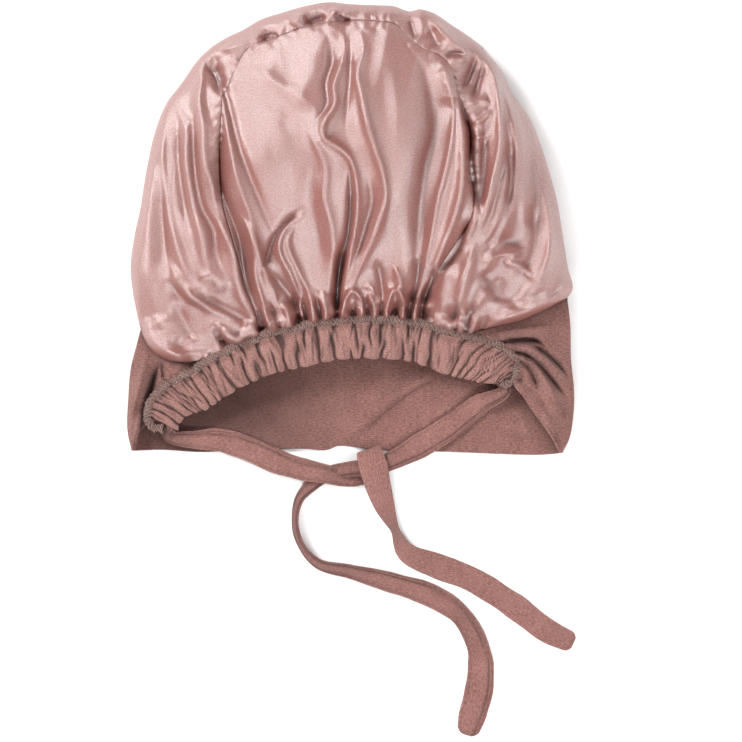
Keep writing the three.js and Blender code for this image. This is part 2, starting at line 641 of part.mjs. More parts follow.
// A flat tie from a casing's end and on through the rows of its table.
function tie(name, rows, casingEnd) {
  const { centre, across: casingAcross, width: casingEndWidth } = casingSection(casingEnd);
  const outOfCasing = toLeftOf(casingAcross).multiplyScalar(casingEnd ? -1 : 1);
  const start = centre
    .addScaledVector(casingAcross, -casingEndWidth * tieFromMiddle)
    .addScaledVector(outOfCasing, seamGap);
  const lead = start.clone().addScaledVector(outOfCasing, tieLead);
  const line = curveThrough([start, lead, ...rows.map((row) => mm(row, row.lift))]);
  const first = { wide: tieStartWide, roll: 0 };
  const shape = curveThrough(
    [first, first, ...rows].map((row) => new THREE.Vector3(row.wide, row.roll / 90, 0)),
  );
  const steps = Math.round(line.getLength() / tieStep);
  const arcShare = (i) => line.getUtoTmapping(i / steps);
  // Where the tie is folded back on itself, its own left stays on the same side.
  let left = toLeftOf(line.getTangent(0));
  const rings = Array.from({ length: steps + 1 }, (_, i) => {
    const t = arcShare(i);
    const tangent = line.getTangent(t);
    const side = toLeftOf(tangent);
    if (Math.abs(tangent.z) < 0.8) left = side.dot(left) < 0 ? side.negate() : side;
    const { x: wide, y: quarterTurns } = shape.getPoint(t);
    const across = left.clone().applyAxisAngle(tangent, quarterTurns * (Math.PI / 2));
    const up = tangent.clone().cross(across).normalize();
    return ring(line.getPoint(t), across, up, tieWidth * wide, tieThickness);
  });
  return mesh(name, tubeOf(rings), jersey);
}

const undercap = new THREE.Group();
undercap.add(
  crownBackPanel(),
  crownSidePanel(),
  frontBand(),
  napeCasing(),
  overlockSeam(),
  tie("tie_left", leftTie, 0),
  tie("tie_right", rightTie, 1),
);
export default undercap;
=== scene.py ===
"""The looks of a satin-lined undercap that lies on a table, nape side up.

Lengths inside the functions are millimetres and become metres when a mesh is made. Places read off
the photograph are given in its own pixels, across and down from its upper left corner.
"""

import math

import bmesh
import bpy
import numpy as np
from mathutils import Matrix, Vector, noise


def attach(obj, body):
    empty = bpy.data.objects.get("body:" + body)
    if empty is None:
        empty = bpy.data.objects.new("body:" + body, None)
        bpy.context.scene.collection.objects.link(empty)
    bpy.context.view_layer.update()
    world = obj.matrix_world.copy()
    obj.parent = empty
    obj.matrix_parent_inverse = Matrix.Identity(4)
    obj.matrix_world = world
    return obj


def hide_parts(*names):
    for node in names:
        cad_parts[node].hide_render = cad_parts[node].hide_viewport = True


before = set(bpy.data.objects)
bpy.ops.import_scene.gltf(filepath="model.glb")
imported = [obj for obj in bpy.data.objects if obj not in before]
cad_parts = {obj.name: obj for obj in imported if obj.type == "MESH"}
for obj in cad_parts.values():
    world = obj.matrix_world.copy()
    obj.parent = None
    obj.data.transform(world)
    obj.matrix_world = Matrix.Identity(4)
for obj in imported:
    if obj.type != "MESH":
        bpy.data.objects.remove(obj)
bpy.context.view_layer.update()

# Sizes, in millimetres where a line doesn't say otherwise
PIXEL = 260 / 452
PHOTO_WIDTH = 742  # in pixels, and as much high
PHOTO_MIDDLE = 371
ORIGIN_PIXEL = (350, 229)  # where the origin lies in the photograph
CAMERA_HEIGHT = 2400
FOCUS_HEIGHT = 8  # where a pixel of the photograph is exactly PIXEL wide
SEAM_SEEN_AT = 30  # about how high the satin's seams lie
FOOT_SEEN_AT = 22
FOLDS_SEEN_AT = 36
FLAP_SEEN_AT = 10
FAR_LAYER_SEEN_AT = 2
CROWN_HEIGHT = 46
EDGE_HEIGHT = 13
HEM_EDGE_HEIGHT = 2.6
HEM_TOP_HEIGHT = 6
NAPE_END_HEIGHT = 12
NAPE_MIDDLE_HEIGHT = 24
NEAR_PUFF_REACH = 74
FAR_PUFF_REACH = 24
PUFF_POWER = 2.2  # of the rim's section: 1 is straight and 2 a quarter circle
CASING_WIDTH = 20
CASING_FULL_WIDTH = CASING_WIDTH * 1.12  # before the gathers draw its edges in
CASING_THICKNESS = 5
CASING_SLOPE = math.radians(12)
OVERLOCK_WIDTH = 4.4
OVERLOCK_THICKNESS = 3.4
TIE_WIDTH = 14
TIE_THICKNESS = 1.6
SATIN_THICKNESS = 0.8
JERSEY_THICKNESS = 1.2
SATIN_FROM, SATIN_TO = 0.2, 0.82  # where the nape seam holds the satin, as shares of its length
TUCK = 0.4  # the satin's edge lies under the overlocked seam, this far from its middle
FOLD_DEPTH, FOLD_WIDTH = 2.1, 1.3  # times what the tables of folds say
FOLD_REACH = 4.5  # in widths of the fold
CREASE_FULL, VALLEY_FULL = 6, 11  # how deep a c fold and an r valley are when their painted shade is full
TINY = 1e-9


# Curves and distances
def at(places, height=FOCUS_HEIGHT):
    """Places in the photograph's pixels as points over the table, at a height seen in perspective."""
    shrink = 1 - (height - FOCUS_HEIGHT) / (CAMERA_HEIGHT - FOCUS_HEIGHT)
    p = PHOTO_MIDDLE + (np.asarray(places, float) - PHOTO_MIDDLE) * shrink
    return (p - ORIGIN_PIXEL) * (PIXEL, -PIXEL)


def smooth_line(rows, steps=16):
    """A smooth curve through the rows (centripetal), with the row number at each of its points."""
    p = np.asarray(rows, float)
    p = np.vstack([2 * p[0] - p[1], p, 2 * p[-1] - p[-2]])
    gap = np.maximum(np.linalg.norm(np.diff(p, axis=0), axis=1), 1e-6) ** 0.5
    t = np.concatenate([[0], np.cumsum(gap)])
    out, number = [], []
    for i in range(1, len(p) - 2):
        share = np.linspace(0, 1, steps, endpoint=i == len(p) - 3)
        u = (t[i] + share * (t[i + 1] - t[i]))[:, None]

        def mix(a, b, i0, i1):
            return a + (b - a) * (u - t[i0]) / (t[i1] - t[i0])

        a1, a2, a3 = (mix(p[k], p[k + 1], k, k + 1) for k in (i - 1, i, i + 1))
        b1, b2 = mix(a1, a2, i - 1, i + 1), mix(a2, a3, i, i + 2)
        out.append(mix(b1, b2, i, i + 1))
        number.append(i - 1 + share)
    return np.vstack(out), np.concatenate(number)


def along(line):
    """Distance from the line's start to each of its points."""
    return np.concatenate([[0], np.cumsum(np.linalg.norm(np.diff(line, axis=0), axis=1))])


def between(wanted, known, rows):
    """Rows that are known at some places, at the places wanted."""
    return np.stack([np.interp(wanted, known, rows[:, k]) for k in range(rows.shape[1])], -1)


def spaced(line, shares):
    """The line's points at these shares of its length."""
    s = along(line)
    return between(shares * s[-1], s, line)


def resampled(line, count):
    return spaced(line, np.linspace(0, 1, count))


def spline(rows, count):
    """A smooth curve through the rows, as evenly spaced points."""
    return resampled(smooth_line(rows)[0], count)


def unit(vectors):
    return vectors / np.maximum(np.linalg.norm(vectors, axis=1, keepdims=True), TINY)


def to_left(line):
    """Unit vectors to the left of a flat line."""
    d = unit(np.gradient(line[:, :2], axis=0))
    return np.stack([-d[:, 1], d[:, 0]], 1)


def beside(line, offset):
    """The flat line moved to its left."""
    return line + to_left(line) * np.asarray(offset)[..., None]


def nearest(line, xy):
    """Distance, share of the line and signed side (left positive) of the nearest place on it."""
    best = np.full(len(xy), 1e9)
    share = np.zeros(len(xy))
    side = np.ones(len(xy))
    s = along(line)
    for i in range(len(line) - 1):
        a, d = line[i], line[i + 1] - line[i]
        rel = xy - a
        t = np.clip(rel @ d / max(d @ d, 1e-12), 0, 1)
        off = rel - t[:, None] * d
        dist = np.hypot(off[:, 0], off[:, 1])
        closer = dist < best
        best[closer] = dist[closer]
        share[closer] = ((s[i] + t * (s[i + 1] - s[i])) / s[-1])[closer]
        side[closer] = np.sign(d[0] * rel[:, 1] - d[1] * rel[:, 0] + 1e-12)[closer]
    return best, share, side


def clip01(x):
    return np.clip(x, 0, 1)


def lerp(a, b, t):
    return a + (b - a) * t


def smoothstep(x, low, high):
    t = clip01((x - low) / (high - low))
    return t * t * (3 - 2 * t)


def bell(x, width=1.0):
    """1 at 0, and falling off to both sides over the width."""
    return np.exp(-((x / width) ** 2))


def puff(t):
    """0 at 0 with an upright start, and 1 from 1 on."""
    return (1 - (1 - clip01(t)) ** PUFF_POWER) ** (1 / PUFF_POWER)


def rumple(x, y, size_x, size_y, seed):
    """Soft noise from about -1 to 1, with features of these sizes."""
    points = zip(np.ravel(x) / size_x, np.ravel(y) / size_y)
    made = [noise.noise(Vector((a, b, seed * 7.31))) for a, b in points]
    return np.array(made).reshape(np.shape(x)) * 1.6


def ripple(s, size, seed):
    """Soft noise along a length only."""
    return rumple(s, s * 0, size, 1, seed)


# Lines that bound the pieces, in the photograph's pixels
LEFT_EDGE = [(141, 330), (134, 297), (131, 268), (135, 236), (141, 208), (145, 182), (149, 160),
             (156, 131), (167, 104), (182, 84), (199, 60), (213, 47)]
TOP_EDGE = [(213, 47), (228, 38), (243, 31), (262, 20), (281, 14), (301, 8), (328, 3), (352, 5),
            (376, 6), (394, 7), (409, 12), (420, 10), (434, 14), (452, 26), (470, 38), (483, 48)]
RIGHT_EDGE = [(567, 298), (572, 290), (572, 283), (568, 270), (563, 240), (557, 203), (546, 163),
              (531, 122), (512, 94), (500, 70), (483, 48)]
LEFT_SEAM = [(262, 333), (254, 308), (245, 284), (239, 258), (231, 232), (223, 202), (220, 160),
             (221, 125), (222, 98)]
TOP_SEAM = [(222, 98), (228, 86), (235, 69), (248, 48), (276, 36), (302, 27), (330, 21), (352, 19),
            (376, 20), (396, 23), (406, 33), (420, 46), (440, 55), (451, 66), (456, 82)]
RIGHT_SEAM = [(421, 321), (425, 302), (431, 284), (443, 263), (457, 242), (470, 219), (474, 198),
              (470, 166), (470, 132), (461, 101), (456, 82)]
NAPE = [(147, 416), (151, 402), (160, 390), (178, 379), (196, 368), (216, 356), (240, 344),
        (265, 335), (300, 327), (340, 320), (380, 319), (420, 323), (445, 331), (470, 336),
        (492, 343), (508, 352), (517, 366), (512, 378)]
LEFT_LOBE = [(141, 330), (149, 347), (160, 357), (176, 362)]
RIGHT_LOBE = [(567, 298), (545, 310), (520, 321), (496, 327)]
LEFT_BAND_EDGE = [(131, 451), (127, 430), (128, 400), (131, 368), (137, 345), (141, 330)]
RIGHT_BAND_EDGE = [(563, 453), (570, 438), (574, 410), (574, 388), (571, 360), (570, 325), (567, 298)]
FRONT_HEM = [(131, 451), (160, 450), (200, 452), (250, 450), (300, 449), (328, 450), (338, 446),
             (360, 448), (400, 451), (450, 452), (500, 454), (540, 455), (563, 453)]
LEFT_FLAP_HEM = [(134, 450), (139, 434), (145, 420)]
RIGHT_FLAP_HEM = [(560, 452), (550, 436), (539, 420), (530, 408), (523, 397), (514, 386)]

nape = spline(at(NAPE), 400)
nape_left = to_left(nape)
nape_length = along(nape)[-1]


def beside_nape(share, offset):
    """Points beside the seam at the nape, at shares of its length."""
    place, known = share * (len(nape) - 1), np.arange(len(nape))
    return between(place, known, nape) + between(place, known, nape_left) * offset


def nape_height(share):
    return lerp(NAPE_END_HEIGHT, NAPE_MIDDLE_HEIGHT, np.sin(math.pi * clip01(share)) ** 0.8)


left_foot = nearest(nape, at([LEFT_SEAM[0]], FOOT_SEEN_AT))[1][0]
right_foot = nearest(nape, at([RIGHT_SEAM[0]], FOOT_SEEN_AT))[1][0]


def satin_side_edge(lobe, start, foot):
    """The satin's free edge over a lobe, and on along the nape seam to the horseshoe's foot."""
    return spline(np.vstack([at(lobe), beside_nape(np.linspace(start, foot, 8), TUCK)]), 200)


def from_foot(rows, foot):
    return spline(np.vstack([foot[None], at(rows[1:], SEAM_SEEN_AT)]), 200)


left_satin_edge = satin_side_edge(LEFT_LOBE, SATIN_FROM, left_foot)
middle_satin_edge = beside_nape(np.linspace(left_foot, right_foot, 240), TUCK)
right_satin_edge = satin_side_edge(RIGHT_LOBE, SATIN_TO, right_foot)
left_seam = from_foot(LEFT_SEAM, middle_satin_edge[0])
right_seam = from_foot(RIGHT_SEAM, middle_satin_edge[-1])
top_seam = spline(np.vstack([left_seam[-1], at(TOP_SEAM[1:-1], SEAM_SEEN_AT), right_seam[-1]]), 200)
left_edge, top_edge, right_edge = (spline(at(rows), 200) for rows in (LEFT_EDGE, TOP_EDGE, RIGHT_EDGE))

# The same lines with few points, to measure distances from
RIM = np.vstack([left_edge[:-1], top_edge[:-1], right_edge[::-1]])
FOOT = np.vstack([
    resampled(left_satin_edge, 30), resampled(middle_satin_edge, 30)[1:],
    resampled(right_satin_edge, 30)[::-1][1:],
])
HORSESHOE = np.vstack([
    resampled(left_seam, 50), resampled(top_seam, 50)[1:], resampled(right_seam, 50)[::-1][1:],
])
NAPE_LINE = resampled(nape, 80)
LOBES = [resampled(spline(at(lobe), 60), 20) for lobe in (LEFT_LOBE, RIGHT_LOBE)]
SATIN_NAPE = beside_nape(np.linspace(SATIN_FROM, SATIN_TO, 60), TUCK)

# The satin's folds
# kind, rise (a valley's is negative), width to the line's left and to its right, and its places.
# r is a round ridge or valley, c a crease with a sharper bottom.
FOLDS = [
    # left side
    ("r", 2.0, 2.4, 2.8, [(164, 118), (162, 150), (164, 180), (168, 214), (177, 248), (190, 280),
                          (208, 312)]),
    ("r", -1.8, 2.4, 2.4, [(176, 120), (178, 160), (183, 200), (190, 236)]),
    ("r", 2.0, 2.2, 2.2, [(170, 262), (180, 284), (196, 300), (214, 308)]),
    ("r", 3.0, 2.6, 3.4, [(200, 62), (201, 80), (199, 100), (203, 125), (205, 160), (213, 190),
                          (216, 212)]),
    ("r", 3.2, 2.4, 3.0, [(216, 212), (224, 230), (234, 252), (240, 288), (250, 310), (262, 326)]),
    ("r", 2.6, 3.4, 2.8, [(172, 100), (186, 130), (186, 158), (191, 190), (202, 238), (206, 264),
                          (222, 290)]),
    ("r", -3.0, 2.6, 2.6, [(194, 105), (193, 150), (200, 205), (213, 230), (216, 256), (230, 286)]),
    ("r", -1.8, 4.2, 3.6, [(167, 130), (163, 200), (163, 250), (170, 288)]),
    ("r", 1.4, 3.6, 3.6, [(156, 145), (149, 190), (147, 240), (150, 290), (160, 328)]),
    ("c", -3.6, 3.0, 3.0, [(222, 98), (222, 125), (220, 160), (223, 195), (230, 214), (239, 240),
                           (245, 278), (257, 311), (265, 328)]),
    ("r", -2.2, 2.6, 2.2, [(216, 60), (226, 96), (236, 138), (248, 172), (262, 206), (276, 240)]),
    ("r", 2.0, 2.2, 2.6, [(214, 70), (224, 106), (230, 142), (238, 180), (250, 216), (258, 250),
                          (268, 290), (276, 320)]),
    ("r", 2.6, 2.0, 2.2, [(238, 212), (248, 228), (254, 250), (255, 276), (262, 300), (268, 326)]),
    ("r", 2.6, 2.2, 2.2, [(187, 278), (188, 293), (205, 307), (225, 316), (244, 335)]),
    ("r", -2.6, 2.0, 2.2, [(194, 292), (218, 305), (240, 317), (262, 330)]),
    ("r", 1.8, 3.6, 3.6, [(196, 284), (211, 276), (225, 295)]),
    ("r", -2.2, 3.2, 3.2, [(165, 278), (184, 300), (213, 314)]),
    ("r", -2.0, 3.0, 3.0, [(172, 300), (183, 322), (196, 345)]),
    ("r", 2.2, 4.6, 4.6, [(155, 312), (162, 336), (176, 352)]),
    ("r", 1.8, 1.6, 1.6, [(216, 318), (221, 331), (239, 341)]),
    ("c", -2.6, 1.6, 1.6, [(214, 324), (220, 338), (229, 348)]),
    # upper left
    ("c", -2.3, 1.9, 1.9, [(203, 58), (210, 68), (216, 80), (221, 98)]),
    ("c", -1.5, 1.5, 1.5, [(212, 62), (218, 76), (223, 90)]),
    ("r", -1.6, 2.6, 2.6, [(210, 50), (218, 68), (225, 86)]),
    ("r", 2.4, 2.6, 2.6, [(214, 48), (238, 45), (255, 37), (266, 27)]),
    ("c", -2.0, 2.0, 2.0, [(262, 42), (268, 34), (279, 35)]),
    ("r", 2.2, 2.6, 2.6, [(293, 27), (298, 17), (306, 10)]),
    ("r", 2.0, 2.4, 2.4, [(328, 6), (339, 12), (352, 17)]),
    ("c", -2.8, 2.4, 2.4, [(303, 24), (314, 18), (328, 15)]),
    ("c", -2.6, 2.2, 2.2, [(334, 9), (342, 17), (352, 18)]),
    # middle panel
    ("r", 2.8, 2.0, 2.4, [(339, 22), (345, 47), (340, 70), (334, 88), (335, 104), (323, 127), (325, 140),
                          (338, 148), (350, 160), (357, 193), (355, 229), (349, 261), (342, 300)]),
    ("r", 3.0, 2.6, 3.2, [(357, 22), (364, 47), (358, 75), (362, 96), (367, 122), (375, 150), (383, 176),
                          (385, 200), (376, 230), (364, 258), (352, 286), (345, 310)]),
    ("r", -1.6, 1.8, 1.8, [(350, 34), (350, 75), (348, 97), (345, 130)]),
    ("r", -2.6, 2.4, 2.8, [(327, 32), (332, 60), (326, 84), (328, 104), (314, 126)]),
    ("c", -3.0, 1.4, 1.4, [(348, 156), (351, 193), (348, 234), (340, 266), (336, 300)]),
    ("r", 2.2, 3.2, 3.0, [(296, 112), (316, 144), (326, 172), (324, 198), (331, 224), (333, 262),
                          (328, 300)]),
    ("r", -1.8, 2.4, 2.4, [(366, 170), (372, 200), (364, 232), (352, 268)]),
    ("r", -1.4, 3.4, 3.4, [(314, 160), (311, 200), (318, 240), (322, 280)]),
    ("c", -2.4, 2.2, 1.6, [(305, 204), (290, 219), (275, 237), (266, 260), (259, 278)]),
    ("r", 2.6, 1.8, 2.2, [(309, 213), (286, 228), (279, 248), (291, 276), (303, 306)]),
    ("r", 2.0, 1.7, 1.9, [(299, 222), (288, 242), (299, 272), (312, 300), (317, 318)]),
    ("r", -2.4, 2.2, 2.4, [(268, 268), (280, 284), (292, 300), (298, 318)]),
    ("r", 1.8, 2.0, 2.0, [(255, 232), (262, 262), (274, 292), (282, 320)]),
    ("r", 1.5, 1.6, 1.6, [(361, 290), (370, 286), (376, 300)]),
    ("r", -2.2, 2.2, 2.2, [(376, 256), (381, 280), (382, 304)]),
    ("r", 2.4, 2.0, 2.0, [(393, 262), (401, 286), (398, 312)]),
    ("r", 1.2, 4.5, 4.0, [(244, 62), (268, 78), (294, 94), (320, 112)]),
    ("r", -0.4, 4.5, 4.5, [(246, 92), (270, 112), (300, 132)]),
    ("r", 1.2, 6.0, 6.0, [(392, 60), (400, 120), (398, 180), (390, 240)]),
    # rolled rims of the lobes
    ("r", 1.3, 1.8, 1.6, [(566, 289), (545, 303), (520, 314), (498, 320)]),
    ("r", -1.2, 2.2, 2.2, [(552, 286), (530, 298), (505, 308)]),
    ("r", 1.4, 1.8, 1.8, [(144, 322), (151, 339), (163, 350), (178, 355), (192, 353)]),
    ("r", -1.2, 2.4, 2.4, [(154, 318), (160, 332), (172, 343), (188, 344)]),
    # gathers at the casing
    ("c", -2.7, 1.3, 1.3, [(230, 357), (222, 342), (213, 334)]),
    ("c", -2.4, 1.2, 1.2, [(250, 350), (241, 336), (231, 330)]),
    ("r", 2.2, 2.6, 2.6, [(243, 346), (233, 334), (222, 322)]),
    ("r", 2.1, 2.2, 2.2, [(260, 342), (253, 328), (245, 318)]),
    ("c", -2.8, 1.2, 1.2, [(267, 343), (262, 324), (257, 305)]),
    ("r", 2.2, 2.4, 2.4, [(274, 340), (268, 322), (261, 306)]),
    ("c", -2.7, 1.2, 1.2, [(282, 340), (276, 320), (268, 300)]),
    ("r", 2.4, 2.8, 2.8, [(292, 338), (287, 316), (280, 298)]),
    ("c", -2.9, 1.2, 1.2, [(301, 336), (297, 310), (291, 289)]),
    ("c", -2.7, 1.1, 1.1, [(308, 334), (305, 312), (300, 296)]),
    ("r", 2.4, 2.2, 2.2, [(314, 333), (312, 310), (306, 290)]),
    ("c", -2.8, 1.2, 1.2, [(321, 332), (319, 308), (314, 292)]),
    ("r", 2.2, 2.2, 2.2, [(328, 331), (326, 308), (322, 288)]),
    ("c", -4.6, 1.7, 1.5, [(337, 331), (337, 300), (339, 270), (343, 238)]),
    ("r", 2.9, 1.5, 1.5, [(342, 330), (343, 306), (352, 291), (362, 300), (362, 318)]),
    ("c", -2.2, 2.2, 2.2, [(353, 328), (353, 312), (354, 304)]),
    ("c", -2.7, 1.2, 1.2, [(367, 330), (367, 308), (362, 292)]),
    ("r", 2.7, 1.6, 1.6, [(373, 330), (374, 308), (368, 290)]),
    ("c", -2.4, 1.2, 1.2, [(380, 331), (381, 312), (383, 296)]),
    ("r", 2.8, 1.6, 1.6, [(386, 331), (387, 306), (395, 290), (404, 300), (402, 320)]),
    ("c", -2.7, 1.6, 1.6, [(394, 330), (395, 312), (396, 304)]),
    ("c", -3.1, 1.3, 1.3, [(408, 333), (410, 306), (417, 284)]),
    ("r", 2.2, 1.5, 1.5, [(413, 333), (414, 314), (420, 296)]),
    ("c", -3.5, 1.4, 1.4, [(419, 335), (422, 306), (429, 280)]),
    ("c", -2.9, 1.2, 1.2, [(455, 343), (456, 318), (458, 300)]),
    ("r", 2.1, 1.5, 1.5, [(459, 344), (462, 320), (467, 304)]),
    ("c", -3.4, 1.2, 1.2, [(463, 345), (468, 320), (474, 300)]),
    ("r", 2.2, 1.5, 1.5, [(468, 346), (474, 322), (480, 308)]),
    ("c", -2.8, 1.2, 1.2, [(475, 348), (480, 330), (487, 316)]),
    # right half of the middle panel
    ("r", -4.4, 6.0, 5.0, [(414, 46), (430, 88), (436, 126), (426, 168), (421, 212), (418, 256),
                           (411, 296)]),
    ("c", -2.6, 2.4, 2.4, [(421, 252), (417, 282), (408, 306)]),
    ("r", 2.6, 3.0, 3.2, [(440, 60), (449, 84), (453, 110)]),
    ("r", 2.0, 1.8, 2.0, [(452, 84), (453, 124), (447, 164), (437, 202), (431, 238), (424, 270),
                          (418, 304)]),
    ("r", 3.2, 2.8, 2.8, [(452, 66), (460, 108), (463, 150), (461, 190), (451, 226), (438, 260),
                          (426, 292), (419, 320)]),
    ("c", -3.2, 1.8, 1.8, [(436, 262), (428, 290), (423, 308)]),
    ("r", 3.0, 3.8, 3.8, [(450, 258), (443, 290), (446, 320)]),
    ("c", -3.4, 1.7, 1.7, [(456, 86), (462, 106), (470, 130), (471, 160), (475, 196), (474, 214)]),
    ("r", -3.2, 2.2, 2.6, [(473, 208), (460, 244), (444, 268), (434, 290), (425, 314)]),
    # upper right
    ("c", -1.8, 1.8, 1.8, [(410, 14), (413, 28), (417, 40)]),
    ("r", -2.0, 2.4, 2.4, [(430, 22), (435, 38), (442, 50)]),
    ("r", 2.2, 2.6, 2.6, [(428, 16), (450, 38), (472, 58)]),
    ("c", -1.9, 1.8, 1.8, [(444, 55), (456, 52), (468, 52)]),
    ("r", 1.6, 1.6, 1.6, [(448, 61), (458, 58), (468, 60)]),
    ("r", -2.6, 2.0, 2.0, [(478, 52), (470, 74), (462, 92)]),
    ("r", -2.4, 2.0, 2.0, [(486, 58), (478, 84), (472, 104)]),
    ("r", 1.5, 1.4, 1.4, [(466, 106), (480, 100), (492, 103)]),
    ("r", 1.5, 1.4, 1.4, [(471, 127), (484, 118), (495, 108)]),
    ("r", 1.5, 1.4, 1.4, [(472, 141), (485, 136), (493, 138)]),
    # right side
    ("r", 2.2, 2.4, 2.6, [(494, 62), (506, 92), (514, 128), (516, 170), (512, 206), (500, 236),
                          (486, 268), (476, 300)]),
    ("r", 2.2, 2.2, 2.6, [(541, 178), (549, 214), (550, 250), (540, 276), (520, 296)]),
    ("r", -2.0, 2.6, 2.6, [(532, 200), (536, 236), (530, 262), (512, 284)]),
    ("r", 2.2, 2.2, 2.2, [(500, 262), (520, 266), (534, 280)]),
    ("r", 4.2, 2.6, 3.2, [(488, 58), (496, 80), (500, 112), (500, 150), (493, 180), (486, 210),
                          (477, 240)]),
    ("r", 3.8, 2.4, 3.0, [(477, 240), (469, 264), (460, 298), (458, 322)]),
    ("r", 2.6, 2.4, 2.4, [(509, 158), (503, 190), (497, 218), (483, 246)]),
    ("r", 2.0, 3.0, 3.0, [(515, 108), (522, 140), (523, 190), (525, 236)]),
    ("r", -2.8, 2.6, 2.6, [(486, 118), (484, 160), (481, 196), (474, 222)]),
    ("r", -2.4, 2.6, 2.6, [(511, 130), (513, 170), (508, 215)]),
    ("r", -1.6, 3.6, 3.6, [(534, 140), (538, 190), (540, 240)]),
    ("r", 2.2, 1.8, 1.8, [(476, 194), (476, 214), (466, 239), (458, 250)]),
    ("r", -1.7, 3.4, 3.4, [(479, 254), (494, 244), (511, 240), (528, 248)]),
    ("r", 2.2, 1.8, 2.0, [(482, 265), (504, 254), (526, 256)]),
    ("r", -2.4, 2.6, 2.6, [(483, 268), (489, 281), (486, 294)]),
    ("r", 2.8, 2.4, 2.8, [(491, 274), (483, 296), (470, 313)]),
    ("r", -2.0, 3.0, 3.0, [(499, 274), (499, 290), (494, 303)]),
    ("r", 2.2, 4.8, 4.8, [(551, 228), (549, 262), (538, 290), (504, 312)]),
    ("r", -1.6, 4.0, 4.0, [(530, 268), (520, 290), (500, 304)]),
]


def round_section(ratio):
    """A fold's height over its width: a narrow crest on a broad foot."""
    return 0.2 * bell(1.9 * ratio) + 0.45 * bell(ratio) + 0.35 / (1 + (ratio / 1.9) ** 2)


def add_folds(folds, xy, seen_at, held=0.0):
    """Height, and painted shade from 0 to 1 in the valleys, that the folds give at each point.

    A fold fades and narrows towards its ends, but not where the cloth is held by a seam.
    """
    held = np.broadcast_to(held, len(xy))
    height, painted_shade_and_ground = np.zeros((2, len(xy)))
    for kind, rise, left, right, places in folds:
        line = spline(at(places, seen_at), max(8, 4 * len(places)))
        reach = FOLD_REACH * FOLD_WIDTH * max(left, right)
        near = np.all((xy > line.min(0) - reach) & (xy < line.max(0) + reach), axis=1)
        if not near.any():
            continue
        distance, share, side = nearest(line, xy[near])
        fade = np.maximum(smoothstep(np.minimum(share, 1 - share), -0.01, 0.3), held[near])
        ratio = distance / (np.where(side > 0, left, right) * FOLD_WIDTH * (0.4 + 0.6 * fade))
        section = round_section(ratio) if kind == "r" else np.exp(-(ratio**1.3))
        height[near] += rise * fade * section * (1 - smoothstep(distance, 0.4 * reach, reach))
        # Painted shade in the valley, darker the deeper it is.
        depth = max(-rise, 0) / (CREASE_FULL if kind == "c" else VALLEY_FULL)
        painted_shade_and_ground[near] += depth * fade * bell(ratio)
    return height, clip01(painted_shade_and_ground)


def gathers(s, distance, pitch, depth, reach, seed):
    """Irregular gathers across a seam: s along it, distance from it, fewer the further away."""
    def wave(pitch, shift):
        drift = rumple(s, distance, pitch * 3.5, reach * 2, seed + shift) * 0.55
        strength = 0.75 + 0.45 * rumple(s, distance, pitch * 2.2, reach, seed + shift + 1)
        return np.cos(2 * math.pi * (s / pitch + drift)) * strength

    wide_reach = reach * 2.2
    fine = wave(pitch, 0) * np.exp(-distance / reach)
    wide = 1.3 * wave(pitch * 2.3, 5) * np.exp(-distance / wide_reach) * clip01(distance / 6)
    return depth * (1 - smoothstep(distance, reach, wide_reach)) * (fine + wide)


CASING_GATHERS = {"pitch": 6.5, "depth": 1.9, "reach": 11, "seed": 1}
SEAM_PUCKERS = {"pitch": 5.2, "depth": 0.5, "reach": 4.5, "seed": 20}
SEAM_VALLEY = 0.8


def crown_body(rim, foot, foot_height, inward):
    """The puffed crown without its folds, at distances from its rim and from its foot."""
    at_edge = lerp(foot_height, EDGE_HEIGHT, clip01(foot / (rim + foot + TINY)))
    gentle = 1 - (1 - clip01(foot / 100)) ** 1.5
    from_foot_up = lerp(puff(foot / 40), gentle, inward)
    t = clip01(rim / NEAR_PUFF_REACH)
    from_rim_up = 0.22 * puff(t / 0.12) + 0.78 * (1 - (1 - t) ** 1.7)
    return lerp(at_edge, CROWN_HEIGHT, from_rim_up * from_foot_up)


